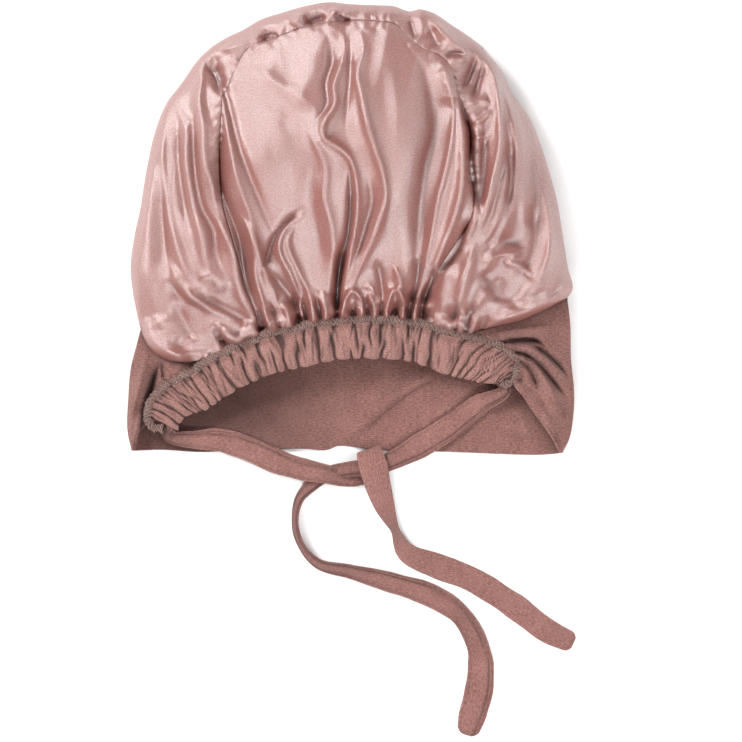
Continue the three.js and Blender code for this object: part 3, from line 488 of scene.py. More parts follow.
def crown(xy):
    """Height of the near satin, and each point's painted shade: in the folds' valleys, along the seam, at
    the foot and in the gathers there.
    """
    rim = nearest(RIM, xy)[0]
    foot, foot_share, _ = nearest(FOOT, xy)
    nape_share = nearest(NAPE_LINE, xy)[1]
    from_lobes = np.minimum(*(nearest(lobe, xy)[0] for lobe in LOBES))
    from_nape = nearest(SATIN_NAPE, xy)[0]
    inward = smoothstep(from_lobes / (from_lobes + from_nape + TINY), 0.1, 0.75)
    foot_height = lerp(EDGE_HEIGHT, nape_height(nape_share), inward) - 1.6 * inward
    inside = smoothstep(rim, 0.3, 6) * smoothstep(foot, -3, 2.5)
    folds, painted_shade_and_ground = add_folds(FOLDS, xy, FOLDS_SEEN_AT, 1 - smoothstep(foot, 2, 12))
    gathered = gathers(foot_share * along(FOOT)[-1], foot, **CASING_GATHERS) * inside * inward
    height = crown_body(rim, foot, foot_height, inward) + inside * folds * FOLD_DEPTH + gathered

    seam, seam_share, side = nearest(HORSESHOE, xy)
    along_seam = seam_share * along(HORSESHOE)[-1]
    pucker = gathers(along_seam, seam, **SEAM_PUCKERS) * np.where(side > 0, 1.0, 0.8)
    height += pucker * inside * smoothstep(seam_share * (1 - seam_share), 0.1, 0.18)
    # The stitches draw the seam in here and there, and not at all close to the nape.
    tight = clip01(0.55 + 0.8 * ripple(along_seam, 11, 7)) * smoothstep(foot, 20, 60)
    height -= SEAM_VALLEY * tight * np.exp(-((seam / 1.2) ** 1.5)) * smoothstep(rim, 0, 8)

    x, y = xy.T
    height += inside * (1.3 * rumple(x, y, 21, 74, 3) + 0.45 * rumple(x, y, 10, 38, 4))
    # Painted shade at the foot, where the satin dips under the seam, in the gathers' hollows and along the
    # drawn-in seam.
    painted_foot_shade = (0.3 * np.exp(-foot / 1.1) + 0.2 * clip01(-gathered / 1.8)) * inward
    return height, clip01(painted_shade_and_ground * inside + 0.25 * tight * bell(seam, 0.9) + painted_foot_shade)


# Meshes
def mesh_object(name, vertices, faces, materials, uv=None, painted_shade_and_ground=None):
    """A mesh from points in millimetres.

    uv is each point's place over the cloth, in millimetres, and the last argument its painted shade from 0
    to 1, which on the overlock is instead the share of its darker ground.
    """
    mesh = bpy.data.meshes.new(name)
    mesh.from_pydata((np.asarray(vertices, float) / 1000).tolist(), [], np.asarray(faces).tolist())
    mesh.validate()
    for material in materials:
        mesh.materials.append(material)
    if uv is not None:
        layer = mesh.uv_layers.new(name="cloth")
        corner = np.zeros(len(mesh.loops), np.int32)
        mesh.loops.foreach_get("vertex_index", corner)
        layer.data.foreach_set("uv", np.asarray(uv / 1000, np.float32)[corner].ravel())
        attribute = mesh.attributes.new("painted_shade_and_ground", "FLOAT", "POINT")
        attribute.data.foreach_set("value", np.asarray(painted_shade_and_ground, np.float32))
    mesh.polygons.foreach_set("use_smooth", [True] * len(mesh.polygons))
    mesh.update()
    made = bpy.data.objects.new(name, mesh)
    bpy.context.scene.collection.objects.link(made)
    return made


def grid_faces(rows, columns, start=0, closed=False, flip=False):
    """Quads of a grid whose points are stored row by row. closed joins its last column to its first."""
    i = np.arange(rows - 1)[:, None]
    j = np.arange(columns if closed else columns - 1)[None]
    k = (j + 1) % columns
    a, b = i * columns + j, i * columns + k
    c, d = (i + 1) * columns + k, (i + 1) * columns + j
    return np.stack([a, d, c, b] if flip else [a, b, c, d], -1).reshape(-1, 4) + start


def coons(bottom, top, left, right, u=None):
    """A grid between four lines that meet at its corners. Its rows go from bottom to top."""
    u = (np.linspace(0, 1, len(bottom)) if u is None else u)[None, :, None]
    v = np.linspace(0, 1, len(left))[:, None, None]
    return (
        (1 - v) * bottom[None] + v * top[None] + (1 - u) * left[:, None] + u * right[:, None]
        - (1 - u) * (1 - v) * bottom[0] - u * (1 - v) * bottom[-1]
        - (1 - u) * v * top[0] - u * v * top[-1]
    )


def thicken(piece, thickness, inner_slot=0):
    """Gives the sheet its thickness, inwards from the face it was made as."""
    solid = piece.modifiers.new("thickness", "SOLIDIFY")
    solid.thickness = thickness / 1000
    solid.offset = -1
    solid.material_offset = inner_slot
    solid.use_rim = True
    return piece


def weld(piece, distance=0.00002):
    """Joins points that lie on each other."""
    work = bmesh.new()
    work.from_mesh(piece.data)
    bmesh.ops.remove_doubles(work, verts=work.verts, dist=distance)
    work.to_mesh(piece.data)
    work.free()
    piece.data.update()


def oblong_ring(count, across_power, up_power):
    """Places across and up, from -1 to 1, of the points of a rounded oblong."""
    angle = np.linspace(0, 2 * math.pi, count, endpoint=False)
    cos, sin = np.cos(angle), np.sin(angle)
    return np.sign(cos) * np.abs(cos) ** across_power, np.sign(sin) * np.abs(sin) ** up_power


def cloth_tube(name, points, material, uv, painted_shade_and_ground):
    """A tube from its rings of points, closed at both ends with a flat face."""
    steps, around = points.shape[:2]
    piece = mesh_object(
        name, points.reshape(-1, 3), grid_faces(steps, around, closed=True), [material],
        uv.reshape(-1, 2), painted_shade_and_ground.ravel(),
    )
    work = bmesh.new()
    work.from_mesh(piece.data)
    work.verts.ensure_lookup_table()
    work.faces.new([work.verts[i] for i in reversed(range(around))])
    work.faces.new([work.verts[(steps - 1) * around + i] for i in range(around)])
    bmesh.ops.recalc_face_normals(work, faces=work.faces)
    work.to_mesh(piece.data)
    work.free()
    piece.data.update()
    return piece


# Materials
class Nodes:
    """A material and its shader nodes. Their inputs are values or other nodes' outputs."""

    def __init__(self, name):
        self.material = bpy.data.materials.new(name)
        self.material.use_nodes = True
        self.tree = self.material.node_tree
        self.shader = self.tree.nodes["Principled BSDF"]

    def fill(self, filled, inputs):
        for name, value in inputs.items():
            if isinstance(value, bpy.types.NodeSocket):
                self.tree.links.new(value, filled.inputs[name])
            else:
                filled.inputs[name].default_value = value

    def add(self, kind, inputs, output=0, **settings):
        """The output of a new node with these settings and inputs."""
        made = self.tree.nodes.new("ShaderNode" + kind)
        for name, value in settings.items():
            setattr(made, name, value)
        self.fill(made, inputs)
        return made.outputs[output]

    def maths(self, operation, a, b=0.0):
        return self.add("Math", {0: a, 1: b}, operation=operation)

    def plus(self, a, b):
        return self.maths("ADD", a, b)

    def times(self, a, b):
        return self.maths("MULTIPLY", a, b)

    def sine(self, a):
        return self.maths("SINE", a)

    def mix(self, share, low, high):
        return self.add("Mix", {0: share, 6: low, 7: high}, 2, data_type="RGBA")

    def ranged(self, value, low, high, from_low=0.0, from_high=1.0):
        return self.add("MapRange", {"Value": value, 1: from_low, 2: from_high, 3: low, 4: high})

    def scaled(self, place, sizes):
        return self.add("VectorMath", {0: place, 1: sizes}, operation="MULTIPLY")

    def noise(self, place, scale, detail=3.0):
        return self.add("TexNoise", {"Vector": place, "Scale": scale, "Detail": detail}, "Fac")

    def bump(self, height, strength, distance):
        return self.add("Bump", {"Strength": strength, "Distance": distance, "Height": height})

    # The painted shade of each point, or on the overlock the share of its darker ground, read from the
    # mesh.
    def painted_shade_and_ground(self):
        return self.add("Attribute", {}, "Fac", attribute_name="painted_shade_and_ground")

    def cloth_place(self):
        """The place over the cloth in millimetres, as a vector and as its two parts."""
        place = self.scaled(self.add("UVMap", {}, uv_map="cloth"), (1000, 1000, 1000))
        u, v = self.add("SeparateXYZ", {0: place}).node.outputs[:2]
        return place, u, v


def colour(r, g, b):
    """An sRGB colour of 0 to 255 as Blender's linear one."""
    def linear(c):
        c /= 255
        return c / 12.92 if c <= 0.04045 else ((c + 0.055) / 1.055) ** 2.4

    return (linear(r), linear(g), linear(b), 1.0)


SATIN_DARK, SATIN_LIGHT = colour(142, 87, 79), colour(160, 102, 94)
# The last colour on the next line and the jersey's one after it are painted shade, for valleys, seams and
# hollows.
SATIN_THREADS, SATIN_FLECKS, SATIN_PAINTED_SHADE = colour(112, 74, 69), colour(104, 68, 64), colour(78, 26, 17)
JERSEY_PAINTED_SHADE = colour(66, 37, 33)
THREAD_DARK, THREAD_LIGHT, THREAD_GROUND = colour(150, 106, 95), colour(230, 192, 178), colour(112, 72, 64)
WALE, COURSE = 0.85, 0.62  # the width and height of the jersey's loops, in millimetres


def satin_material():
    """Glossy satin, whose highlights are drawn out one way and finely grained."""
    m = Nodes("satin")
    place, u, v = m.cloth_place()
    base = m.mix(m.noise(place, 0.035, 6.0), SATIN_DARK, SATIN_LIGHT)
    wave = {"Vector": place, "Scale": 0.8, "Distortion": 1.5, "Detail": 2.0}
    threads = m.add("TexWave", wave, "Fac", bands_direction="X")
    base = m.mix(m.times(threads, 0.14), base, SATIN_THREADS)
    base = m.mix(m.ranged(m.noise(place, 1.0, 2.0), 0.0, 0.22, 0.35, 0.65), base, SATIN_FLECKS)
    # Painted shade in the folds' valleys, along the seam and at the foot.
    base = m.mix(m.times(m.painted_shade_and_ground(), 0.8), base, SATIN_PAINTED_SHADE)
    streaks = m.noise(m.scaled(place, (0.9, 0.2, 1)), 1.0)
    slanted = m.sine(m.times(m.plus(u, m.times(v, 0.5)), 14))
    weave = m.plus(slanted, m.times(m.sine(m.times(v, 26)), 0.5))
    uneven = m.plus(m.times(streaks, 0.35), m.times(m.noise(place, 1.7, 2.0), 1.3))
    m.fill(m.shader, {
        "Base Color": base,
        "Specular IOR Level": m.ranged(m.noise(place, 1.1, 2.0), 0.32, 0.68, 0.3, 0.7),
        "Roughness": m.ranged(streaks, 0.29, 0.37),
        "Normal": m.bump(m.plus(m.times(weave, 0.12), uneven), 0.38, 0.0006),
        "Tangent": m.add("Tangent", {}, direction_type="UV_MAP", uv_map="cloth"),
        "Anisotropic": 0.65,
        "Anisotropic Rotation": 0.25,
        "IOR": 2.6,
    })
    return m.material


def knit_height(m, u, v):
    """Fine jersey: columns of small v-shaped loops."""
    turn = m.maths("FRACT", m.maths("DIVIDE", u, WALE))
    off = m.times(m.maths("ABSOLUTE", m.maths("SUBTRACT", turn, 0.5)), 2.0)
    rise = m.maths("SUBTRACT", 1.0, m.times(off, off))
    step = m.maths("SUBTRACT", m.maths("DIVIDE", v, COURSE), m.times(off, 0.45))
    return m.plus(m.times(rise, 0.6), m.times(m.sine(m.times(step, 2 * math.pi)), 0.4))


def jersey_material(name, light, dark):
    m = Nodes(name)
    place, u, v = m.cloth_place()
    knit = knit_height(m, u, v)
    slubs = m.noise(m.scaled(place, (0.5, 1.5, 1)), 1.0, 4.0)
    cloudy = m.plus(m.times(slubs, 1.5), m.times(m.noise(place, 0.06), 0.5))
    base = m.mix(m.ranged(m.plus(m.times(knit, 0.28), cloudy), 0.0, 1.0, 0.75, 1.45), dark, light)
    m.fill(m.shader, {
        # Painted shade in folds and gathers, and painted shadow in the mouth and under the lobes and hem.
        "Base Color": m.mix(m.times(m.painted_shade_and_ground(), 0.8), base, JERSEY_PAINTED_SHADE),
        "Normal": m.bump(m.plus(knit, m.times(slubs, 0.9)), 0.9, 0.0005),
        "Roughness": 0.92,
        "Sheen Weight": 0.08,
        "Sheen Roughness": 0.5,
    })
    return m.material


def thread_material():
    """Overlocking thread, speckled and twisted, over the darker edge of the cloth."""
    m = Nodes("overlock thread")
    place, u, v = m.cloth_place()
    speckle = m.noise(place, 0.9, 4.0)
    base = m.mix(m.ranged(speckle, 0.0, 1.0, 0.35, 0.65), THREAD_DARK, THREAD_LIGHT)
    twist = m.sine(m.times(m.plus(u, m.times(v, 2.0)), 9.0))
    m.fill(m.shader, {
        "Base Color": m.mix(m.painted_shade_and_ground(), base, THREAD_GROUND),
        "Normal": m.bump(m.plus(m.times(twist, 0.3), speckle), 0.9, 0.0006),
        "Roughness": 0.9,
        "Sheen Weight": 0.2,
    })
    return m.material


def floor_material():
    m = Nodes("floor")
    m.fill(m.shader, {"Base Color": (0.97, 0.97, 0.97, 1), "Roughness": 0.9})
    return m.material


satin = satin_material()
# Three copies of one jersey: a lighter one with painted light for the raised casing, the ties' own one, and
# a darker one with painted shade for the band, whose wrong side shows.
lit_jersey = jersey_material("lit jersey", colour(208, 155, 145), colour(134, 88, 80))
jersey = jersey_material("jersey", colour(184, 132, 123), colour(117, 74, 67))
shaded_jersey_inside = jersey_material("shaded jersey inside", colour(174, 124, 115), colour(107, 67, 60))
thread = thread_material()

# The satin panels
SEAM_GAP = 0.12  # how far the back panel stays clear of the horseshoe seam's middle


def back_panel():
    rows, columns = 232, 200
    left = resampled(beside(left_seam, -SEAM_GAP), rows)
    right = resampled(beside(right_seam, SEAM_GAP), rows)
    top = resampled(beside(top_seam, -SEAM_GAP), columns)
    bottom = resampled(middle_satin_edge, columns)
    top[0], top[-1] = left[-1], right[-1]
    left[0], right[0] = bottom[0], bottom[-1]
    xy = coons(bottom, top, left, right).reshape(-1, 2)
    z, painted_shade_and_ground = crown(xy)
    piece = mesh_object(
        "back_panel_satin", np.column_stack([xy, z]), grid_faces(rows, columns), [satin, jersey], xy, painted_shade_and_ground
    )
    return thicken(piece, SATIN_THICKNESS, 1)


def side_panel():
    """The satin from the horseshoe seam out to the cap's outline, and under to the seam with the band."""
    rings, side_columns, top_columns, far_rings = 62, 210, 200, 14
    spread = np.sin(np.linspace(0, math.pi / 2, rings))  # closer together towards the outline

    def strip(start, end, seam, edge, columns):
        return coons(start, end, resampled(seam, columns), resampled(edge, columns), spread)

    left_end = spaced(np.linspace(left_seam[-1], left_edge[-1], rings), spread)
    right_end = spaced(np.linspace(right_seam[-1], right_edge[-1], rings), spread)
    left_foot_line = spaced(left_satin_edge[::-1], spread)
    right_foot_line = spaced(right_satin_edge[::-1], spread)
    left_foot_line[0], right_foot_line[0] = left_seam[0], right_seam[0]
    near = np.concatenate([
        strip(left_foot_line, left_end, left_seam, left_edge, side_columns),
        strip(left_end, right_end, top_seam, top_edge, top_columns)[1:],
        strip(right_end, right_foot_line, right_seam[::-1], right_edge[::-1], side_columns)[1:],
    ])
    columns = len(near)
    near_z, painted_shade_and_ground = (v.reshape(columns, rings) for v in crown(near.reshape(-1, 2)))
    near_z[:, -1] = EDGE_HEIGHT

    # The far layer, from the outline in to the seam with the band.
    rim = near[:, -1]
    band_seam = np.linspace(rim[0], rim[-1], columns)
    steps = (np.linspace(0, 1, far_rings + 1)[1:] ** 2)[None, :, None]
    far = lerp(rim[:, None], band_seam[:, None], steps)
    from_rim = nearest(RIM, far.reshape(-1, 2))[0].reshape(columns, far_rings)
    far_z = EDGE_HEIGHT * (1 - puff(from_rim / FAR_PUFF_REACH))
    xy = np.concatenate([near, far], 1).reshape(-1, 2)
    z = np.concatenate([near_z, far_z], 1).ravel()
    painted_shade_and_ground = np.concatenate([painted_shade_and_ground, np.zeros_like(far_z)], 1).ravel()
    piece = mesh_object(
        "side_panel_satin", np.column_stack([xy, z]), grid_faces(columns, rings + far_rings, flip=True),
        [satin, jersey], xy, painted_shade_and_ground,
    )
    weld(piece)
    return thicken(piece, SATIN_THICKNESS, 1)


# The jersey band
# The columns of both tables are those of FOLDS.
BAND_FOLDS = [
    ("r", 2.4, 1.8, 3.4, [(446, 360), (420, 380), (390, 400), (360, 426), (334, 448)]),
    ("c", -1.6, 1.4, 1.4, [(440, 374), (405, 398), (372, 426), (350, 446)]),
    ("r", 1.2, 2.6, 2.6, [(300, 372), (312, 398), (330, 420)]),
    ("r", 1.2, 2.4, 2.4, [(246, 400), (262, 420), (280, 446)]),
    ("r", 0.9, 3.0, 3.0, [(380, 370), (372, 392), (352, 408)]),
    ("r", 1.2, 2.6, 2.6, [(470, 400), (500, 420), (540, 436)]),
    ("r", 1.0, 2.4, 2.4, [(196, 424), (240, 430), (300, 440)]),
    ("r", 1.4, 2.0, 2.4, [(506, 400), (520, 416), (528, 440)]),
    ("r", 1.0, 2.0, 2.0, [(170, 436), (200, 442), (230, 446)]),
]
FLAP_FOLDS = [
    # right
    ("r", 1.8, 2.4, 2.4, [(490, 338), (503, 333), (520, 330), (540, 328), (556, 326)]),
    ("c", -3.4, 1.1, 1.3, [(497, 344), (512, 341), (525, 340), (536, 341), (547, 348)]),
    ("c", -2.8, 1.0, 1.0, [(526, 341), (543, 352), (553, 360), (563, 370), (574, 382)]),
    ("r", 2.4, 2.0, 2.2, [(506, 347), (522, 347), (536, 353), (548, 362), (560, 373), (573, 388)]),
    ("c", -3.0, 1.2, 1.2, [(508, 351), (525, 355), (538, 364), (549, 376), (558, 387), (569, 400)]),
    ("r", 2.4, 2.4, 2.8, [(514, 356), (534, 365), (545, 381), (554, 400), (563, 422)]),
    ("c", -2.2, 1.1, 1.1, [(515, 360), (527, 366), (534, 377), (539, 392)]),
    ("r", 1.6, 2.0, 2.0, [(512, 382), (526, 388), (537, 402), (548, 420), (558, 440)]),
    ("r", -1.2, 2.2, 2.2, [(520, 380), (534, 396), (548, 414)]),
    # left
    ("r", 2.2, 2.4, 2.6, [(147, 346), (144, 370), (138, 392), (133, 414), (131, 438)]),
    ("c", -3.4, 1.8, 2.0, [(161, 358), (154, 376), (150, 392), (146, 408), (139, 424)]),
    ("c", -1.8, 0.9, 0.9, [(162, 360), (163, 372), (165, 382)]),
    ("r", 1.8, 1.4, 1.4, [(150, 408), (140, 416), (136, 430), (132, 448)]),
    ("c", -1.8, 1.0, 1.0, [(148, 418), (143, 430), (136, 446)]),
]
FLAP_FOLD_DEPTH, FLAP_PAINTED_SHADE_DEPTH = 2.3, 1.7  # times what the table says, for the height and for the painted shade
FLAPS = [
    # the free hem, the satin's lobe over it, the nape seam's shares from where to where the flap is
    # sewn on, and the side of the lobe's line that the crown lies on, 1 for left and -1 for right
    (LEFT_FLAP_HEM, LEFT_LOBE, 0.0, SATIN_FROM, 1),
    (RIGHT_FLAP_HEM, RIGHT_LOBE, 1.0, SATIN_TO, -1),
]
MOUTH_SHADOW_REACH = 50  # how far the painted shadow of the mouth reaches over the far layer
# how far the painted shade along the right flap's hem reaches, in millimetres
HEM_SHADE_REACH = 3


def far_layer(left, right, columns):
    """The band's layer that lies on the table: its points and their painted shade, in rows from the hem up.
    """
    rows = len(left)
    hem = resampled(spline(at(FRONT_HEM), 300), columns)
    hem[0], hem[-1] = left[0], right[0]
    even = np.linspace(0, 1, columns)
    u = lerp(even, (1 - np.cos(math.pi * even)) / 2, 0.35)
    top = left[-1] + (right[-1] - left[-1]) * u[:, None]
    xy = coons(spaced(hem, u), top, left, right, u).reshape(-1, 2)
    up = np.repeat(np.linspace(0, 1, rows), columns)
    from_side = np.minimum(nearest(left, xy)[0], nearest(right, xy)[0])
    reach = lerp(HEM_EDGE_HEIGHT * 2, FAR_PUFF_REACH, up)
    z = lerp(HEM_EDGE_HEIGHT, EDGE_HEIGHT, up) * (1 - puff(from_side / reach))
    lift, painted_shade_and_ground = add_folds(BAND_FOLDS, xy, FAR_LAYER_SEEN_AT)
    x, y = xy.T
    soft = 0.5 * rumple(x, y, 16, 30, 40) + 0.25 * rumple(x, y, 7, 11, 41) + 0.35
    z += (np.maximum(lift, 0) + np.maximum(soft, 0)) * smoothstep(from_side, 2, 12)
    mouth = beside_nape(np.linspace(0.06, 0.96, 60), -CASING_WIDTH - 2.0)
    to_mouth, mouth_share, _ = nearest(mouth, xy)
    to_flap = nearest(resampled(spline(at(RIGHT_FLAP_HEM), 60), 24), xy)[0]
    # Painted shadow of the mouth over the far layer's left, and painted shade along the right flap's hem
    # and in the folds.
    painted_mouth_shadow = 0.95 * bell(to_mouth, MOUTH_SHADOW_REACH) * (1 - smoothstep(mouth_share, 0.16, 0.62))
    shade = painted_shade_and_ground * 0.8 + painted_mouth_shadow + 0.85 * np.exp(-to_flap / HEM_SHADE_REACH)
    return np.column_stack([xy, z]), clip01(shade)


def flap(side, edge, columns):
    """The band's turned-over side: its points and painted shade, in rows from the hem up, folded edge
    first.
    """
    hem_rows, lobe_rows, end, towards, crown_side = FLAPS[side]
    rows = len(edge)
    hem, lobe = at(hem_rows), spline(at(lobe_rows), 40)
    # Under the satin's lobe, so that the lobe hangs over it.
    under = beside(lobe, 6.0 * crown_side * np.linspace(0.1, 1, 40))
    inner = spline(np.vstack([hem, beside_nape(np.linspace(end, towards, 12), 1.2)[:-1], under[-1]]), 400)
    inner = resampled(inner, rows)
    u = 1 - np.cos(np.linspace(0, math.pi / 2, columns))
    top = spaced(spline(np.vstack([edge[-1], under[12], under[26], under[-1]]), 200), u)
    bottom = edge[0] + (inner[0] - edge[0]) * u[:, None]
    xy = coons(bottom, top, edge, inner, u).reshape(-1, 2)
    across = np.tile(u, rows)
    up = np.repeat(np.linspace(0, 1, rows), columns)
    seam_height = nape_height(nearest(NAPE_LINE, xy)[1]) - 1.0
    at_seam = lerp(HEM_TOP_HEIGHT, seam_height, smoothstep(up, 0, 0.45))
    body = lerp(lerp(HEM_EDGE_HEIGHT, EDGE_HEIGHT, up), at_seam, puff(across))
    lift, painted_shade_and_ground = add_folds(FLAP_FOLDS, xy, FLAP_SEEN_AT, smoothstep(across, 0.7, 0.9))
    inside = smoothstep(across, 0, 0.25)
    relief = FLAP_FOLD_DEPTH * lift + 0.35 * rumple(*xy.T, 6, 12, 50 + side)
    z = body + relief * inside * smoothstep(1 - across, -0.2, 0.15)
    to_lobe, _, lobe_side = nearest(resampled(lobe, 24), xy)
    z -= 3.0 * smoothstep(np.where(lobe_side == crown_side, to_lobe, 0), 0, 3)
    # The hem along the free inner edge: a narrow fold with its stitching.
    to_hem = nearest(resampled(spline(hem, 60), 24), xy)[0]
    z += 0.7 * bell(to_hem, 2.2) - 0.5 * bell(to_hem - 4.2, 0.9)
    # Painted shade in the folds, and a painted shadow under the satin's lobe.
    shade = clip01(FLAP_PAINTED_SHADE_DEPTH * painted_shade_and_ground) * inside + 0.8 * np.exp(-to_lobe / 2.4)
    return np.column_stack([xy, z]), clip01(shade)


def front_band():
    rows, columns, flap_columns = 110, 216, 80
    edges = [resampled(spline(at(edge), 200), rows) for edge in (LEFT_BAND_EDGE, RIGHT_BAND_EDGE)]
    points, shade = far_layer(*edges, columns)
    sheets, shades, uvs = [points], [shade], [points[:, :2]]
    faces = [grid_faces(rows, columns, flip=True)]
    for side, edge in enumerate(edges):
        start = rows * (columns + side * flap_columns)
        points, shade = flap(side, edge, flap_columns)
        sheets.append(points)
        shades.append(shade)
        uvs.append(points[:, :2] * (-1, 1) + (0, 300))
        faces.append(grid_faces(rows, flap_columns, start, flip=side == 1))
    piece = mesh_object(
        "band_jersey", np.vstack(sheets), np.vstack(faces), [shaded_jersey_inside],
        np.vstack(uvs), np.concatenate(shades),
    )
    weld(piece)
    return thicken(piece, JERSEY_THICKNESS)


# The gathered casing
# Share of the seam's length, direction from the seam outwards in degrees, and share of the width
CASING_SHAPE = np.array([
    (0, 154, 0.85), (0.12, 131, 1.05), (0.22, 122, 1), (0.35, 106, 1), (0.53, 93, 1), (0.71, 83, 1),
    (0.83, 78, 1.1), (0.89, 74, 1.05), (0.93, 68, 0.9), (0.97, 50, 0.6), (1, 28, 0.36),
])
# Share of the seam's length, and the width of one gather there in millimetres
GATHER_PITCH = np.array([
    (0, 4.4), (0.1, 5.5), (0.22, 8.0), (0.3, 10.0), (0.5, 10.0), (0.62, 11.5), (0.72, 8.0), (0.76, 14.0),
    (0.82, 5.6), (0.86, 4.5), (1, 4.0),
])


def casing_frame(share):
    """Middle, directions across and up, and width of the casing at shares of the seam's length."""
    turn = np.radians(np.interp(share, CASING_SHAPE[:, 0], CASING_SHAPE[:, 1]))
    width = CASING_FULL_WIDTH * np.interp(share, CASING_SHAPE[:, 0], CASING_SHAPE[:, 2])
    outward = np.stack([np.cos(turn), np.sin(turn), np.zeros_like(turn)], -1)
    flat, rise = math.cos(CASING_SLOPE), math.sin(CASING_SLOPE)
    across = outward * flat + (0, 0, rise)
    up = -outward * rise + (0, 0, flat)
    middle = np.column_stack([beside_nape(share, -0.6), nape_height(share) - CASING_THICKNESS / 2])
    return middle - across * (width / 2)[:, None], across, up, width


def gather_pitch(s):
    return np.interp(s / nape_length, GATHER_PITCH[:, 0], GATHER_PITCH[:, 1])


def gather_edges(seed):
    """Where the casing's gathers meet, as lengths along the seam."""
    random = np.random.default_rng(seed)
    edges = [0.0]
    while edges[-1] < nape_length:
        edges.append(edges[-1] + gather_pitch(edges[-1]) * random.uniform(0.5, 1.5))
    return np.array(edges)


def pleats(s, seed, depth):
    """Height of one row of pleats, and how far down between two of them each place is."""
    edges = gather_edges(seed)
    at_s = np.clip(s, 0, edges[-1] - 1e-6)
    index = np.searchsorted(edges, at_s, side="right") - 1
    pitch = edges[index + 1] - edges[index]
    t = (at_s - edges[index]) / pitch
    peak = np.random.default_rng(seed).uniform(0.35, 0.65, len(edges))[index]
    t = np.where(t < peak, 0.5 * t / peak, 0.5 + 0.5 * (t - peak) / (1 - peak))
    dome = (1 - np.abs(2 * t - 1) ** 2.4) ** (1 / 1.7)
    size = np.random.default_rng(seed + 1).uniform(0.6, 1.35, len(edges))[index]
    return depth * np.clip(0.42 * pitch, 1.3, 3.1) * size * (dome - 0.72), 1 - dome


def small_creases(s, w, count, seed):
    """Short, slanting creases in the gathered cloth: their depth at each place along and across it."""
    random = np.random.default_rng(seed)
    depth = np.zeros_like(s)
    for _ in range(count):
        at_s = random.uniform(0, nape_length)
        middle, half = random.uniform(-0.9, 0.9), random.uniform(0.25, 0.8)
        slant, bend = random.normal(0, 2.2), random.normal(0, 1.2)
        width = random.uniform(0.35, 0.75) * (0.6 + 0.05 * gather_pitch(at_s))
        line = at_s + slant * (w - middle) + bend * (w - middle) ** 2
        ends = 1 - smoothstep(np.abs(w - middle) / half, 0.4, 1)
        depth += random.uniform(0.3, 1.0) * ends * bell(s - line, width)
    return depth


def nape_casing():
    steps, around = 900, 46
    share = np.linspace(0, 1, steps)
    middle, across, up, width = casing_frame(share)
    ring_across, ring_up = oblong_ring(around, 0.75, 0.8)
    s, w = np.meshgrid(share * nape_length, ring_across, indexing="ij")
    upper = np.tile(ring_up, (steps, 1))
    top = upper > 0
    lean = (2.6 * ripple(s, 22, 59) - 6.5 * smoothstep(s / nape_length, 0.74, 0.86)) * w
    leaning = s + (lean + 1.2 * rumple(s, w, 9, 0.9, 60) + 0.5 * rumple(s, w, 4, 0.5, 61))
    near_seam, seam_gap = pleats(leaning, 3, 1.0)
    near_edge, edge_gap = pleats(leaning, 13, 1.15)
    edge_share = smoothstep(0.55 * ripple(s, 7, 66) - w, -0.45, 0.45)
    fine = 0.22 * rumple(s, w * 9, 1.6, 5, 62) + 0.3 * rumple(s, w * 9, 3.5, 9, 63)
    small = small_creases(s, w, 150, 17) * (upper > -0.5)
    small *= 1 - 0.7 * smoothstep(s / nape_length, 0.8, 0.86)
    swell = lerp(near_seam, near_edge, edge_share) + fine - 0.8 * small
    # A stitched line near the seam draws the casing in.
    stitch = bell(w - 0.72, 0.07) * top
    arch = (0.8 * np.sqrt(np.clip(1 - w * w, 0, 1)) - 0.7 * stitch) * top
    out = w * ((width / 2)[:, None] + np.where(w < 0, 0.55, 0.1) * swell)
    high = upper * (CASING_THICKNESS / 2 + swell) + arch
    points = middle[:, None] + across[:, None] * out[..., None] + up[:, None] * high[..., None]
    # Painted shade between the gathers, in the stitched groove and in the small creases.
    shade = clip01(lerp(seam_gap, edge_gap, edge_share) * 2.9 - 0.75) + 0.4 * stitch + 0.8 * small
    uv = np.stack([s * 1.7, w * 12 + 14 * (upper < 0)], -1)
    return cloth_tube("casing_jersey", points, lit_jersey, uv, clip01(shade))


# The overlocked seam
LEFT_CURL = [(163, 428), (153, 426), (147, 420)]
RIGHT_CURL = [(511, 381), (506, 384), (501, 382)]
LOOSE_ENDS = [
    [(167, 423), (168, 428), (165, 432)], [(170, 424), (172, 430), (176, 433)],
    [(163, 424), (160, 430), (161, 434)], [(504, 380), (499, 384), (497, 388)],
]
OVERLOCK_PASSES = [
    # pitch, radius, distance outside the seam's edge, slant, and seed of each run of thread
    (1.15, 0.2, 0.15, 0.9, 1),
    (2.3, 0.22, 0.45, -1.3, 2),
]
TURN_POINTS = 13  # points on one turn of the thread


def thin_tube(path, radius, sides=5):
    """Points and faces of a thin round tube along a path."""
    d = unit(np.gradient(path, axis=0))
    a = unit(np.cross(d, (0.31, 0.17, 0.94)))  # square to the path, whichever way it points
    b = np.cross(d, a)
    angle = np.linspace(0, 2 * math.pi, sides, endpoint=False)[None, :, None]
    points = path[:, None] + radius * (a[:, None] * np.cos(angle) + b[:, None] * np.sin(angle))
    return points.reshape(-1, 3), grid_faces(len(path), sides, closed=True)


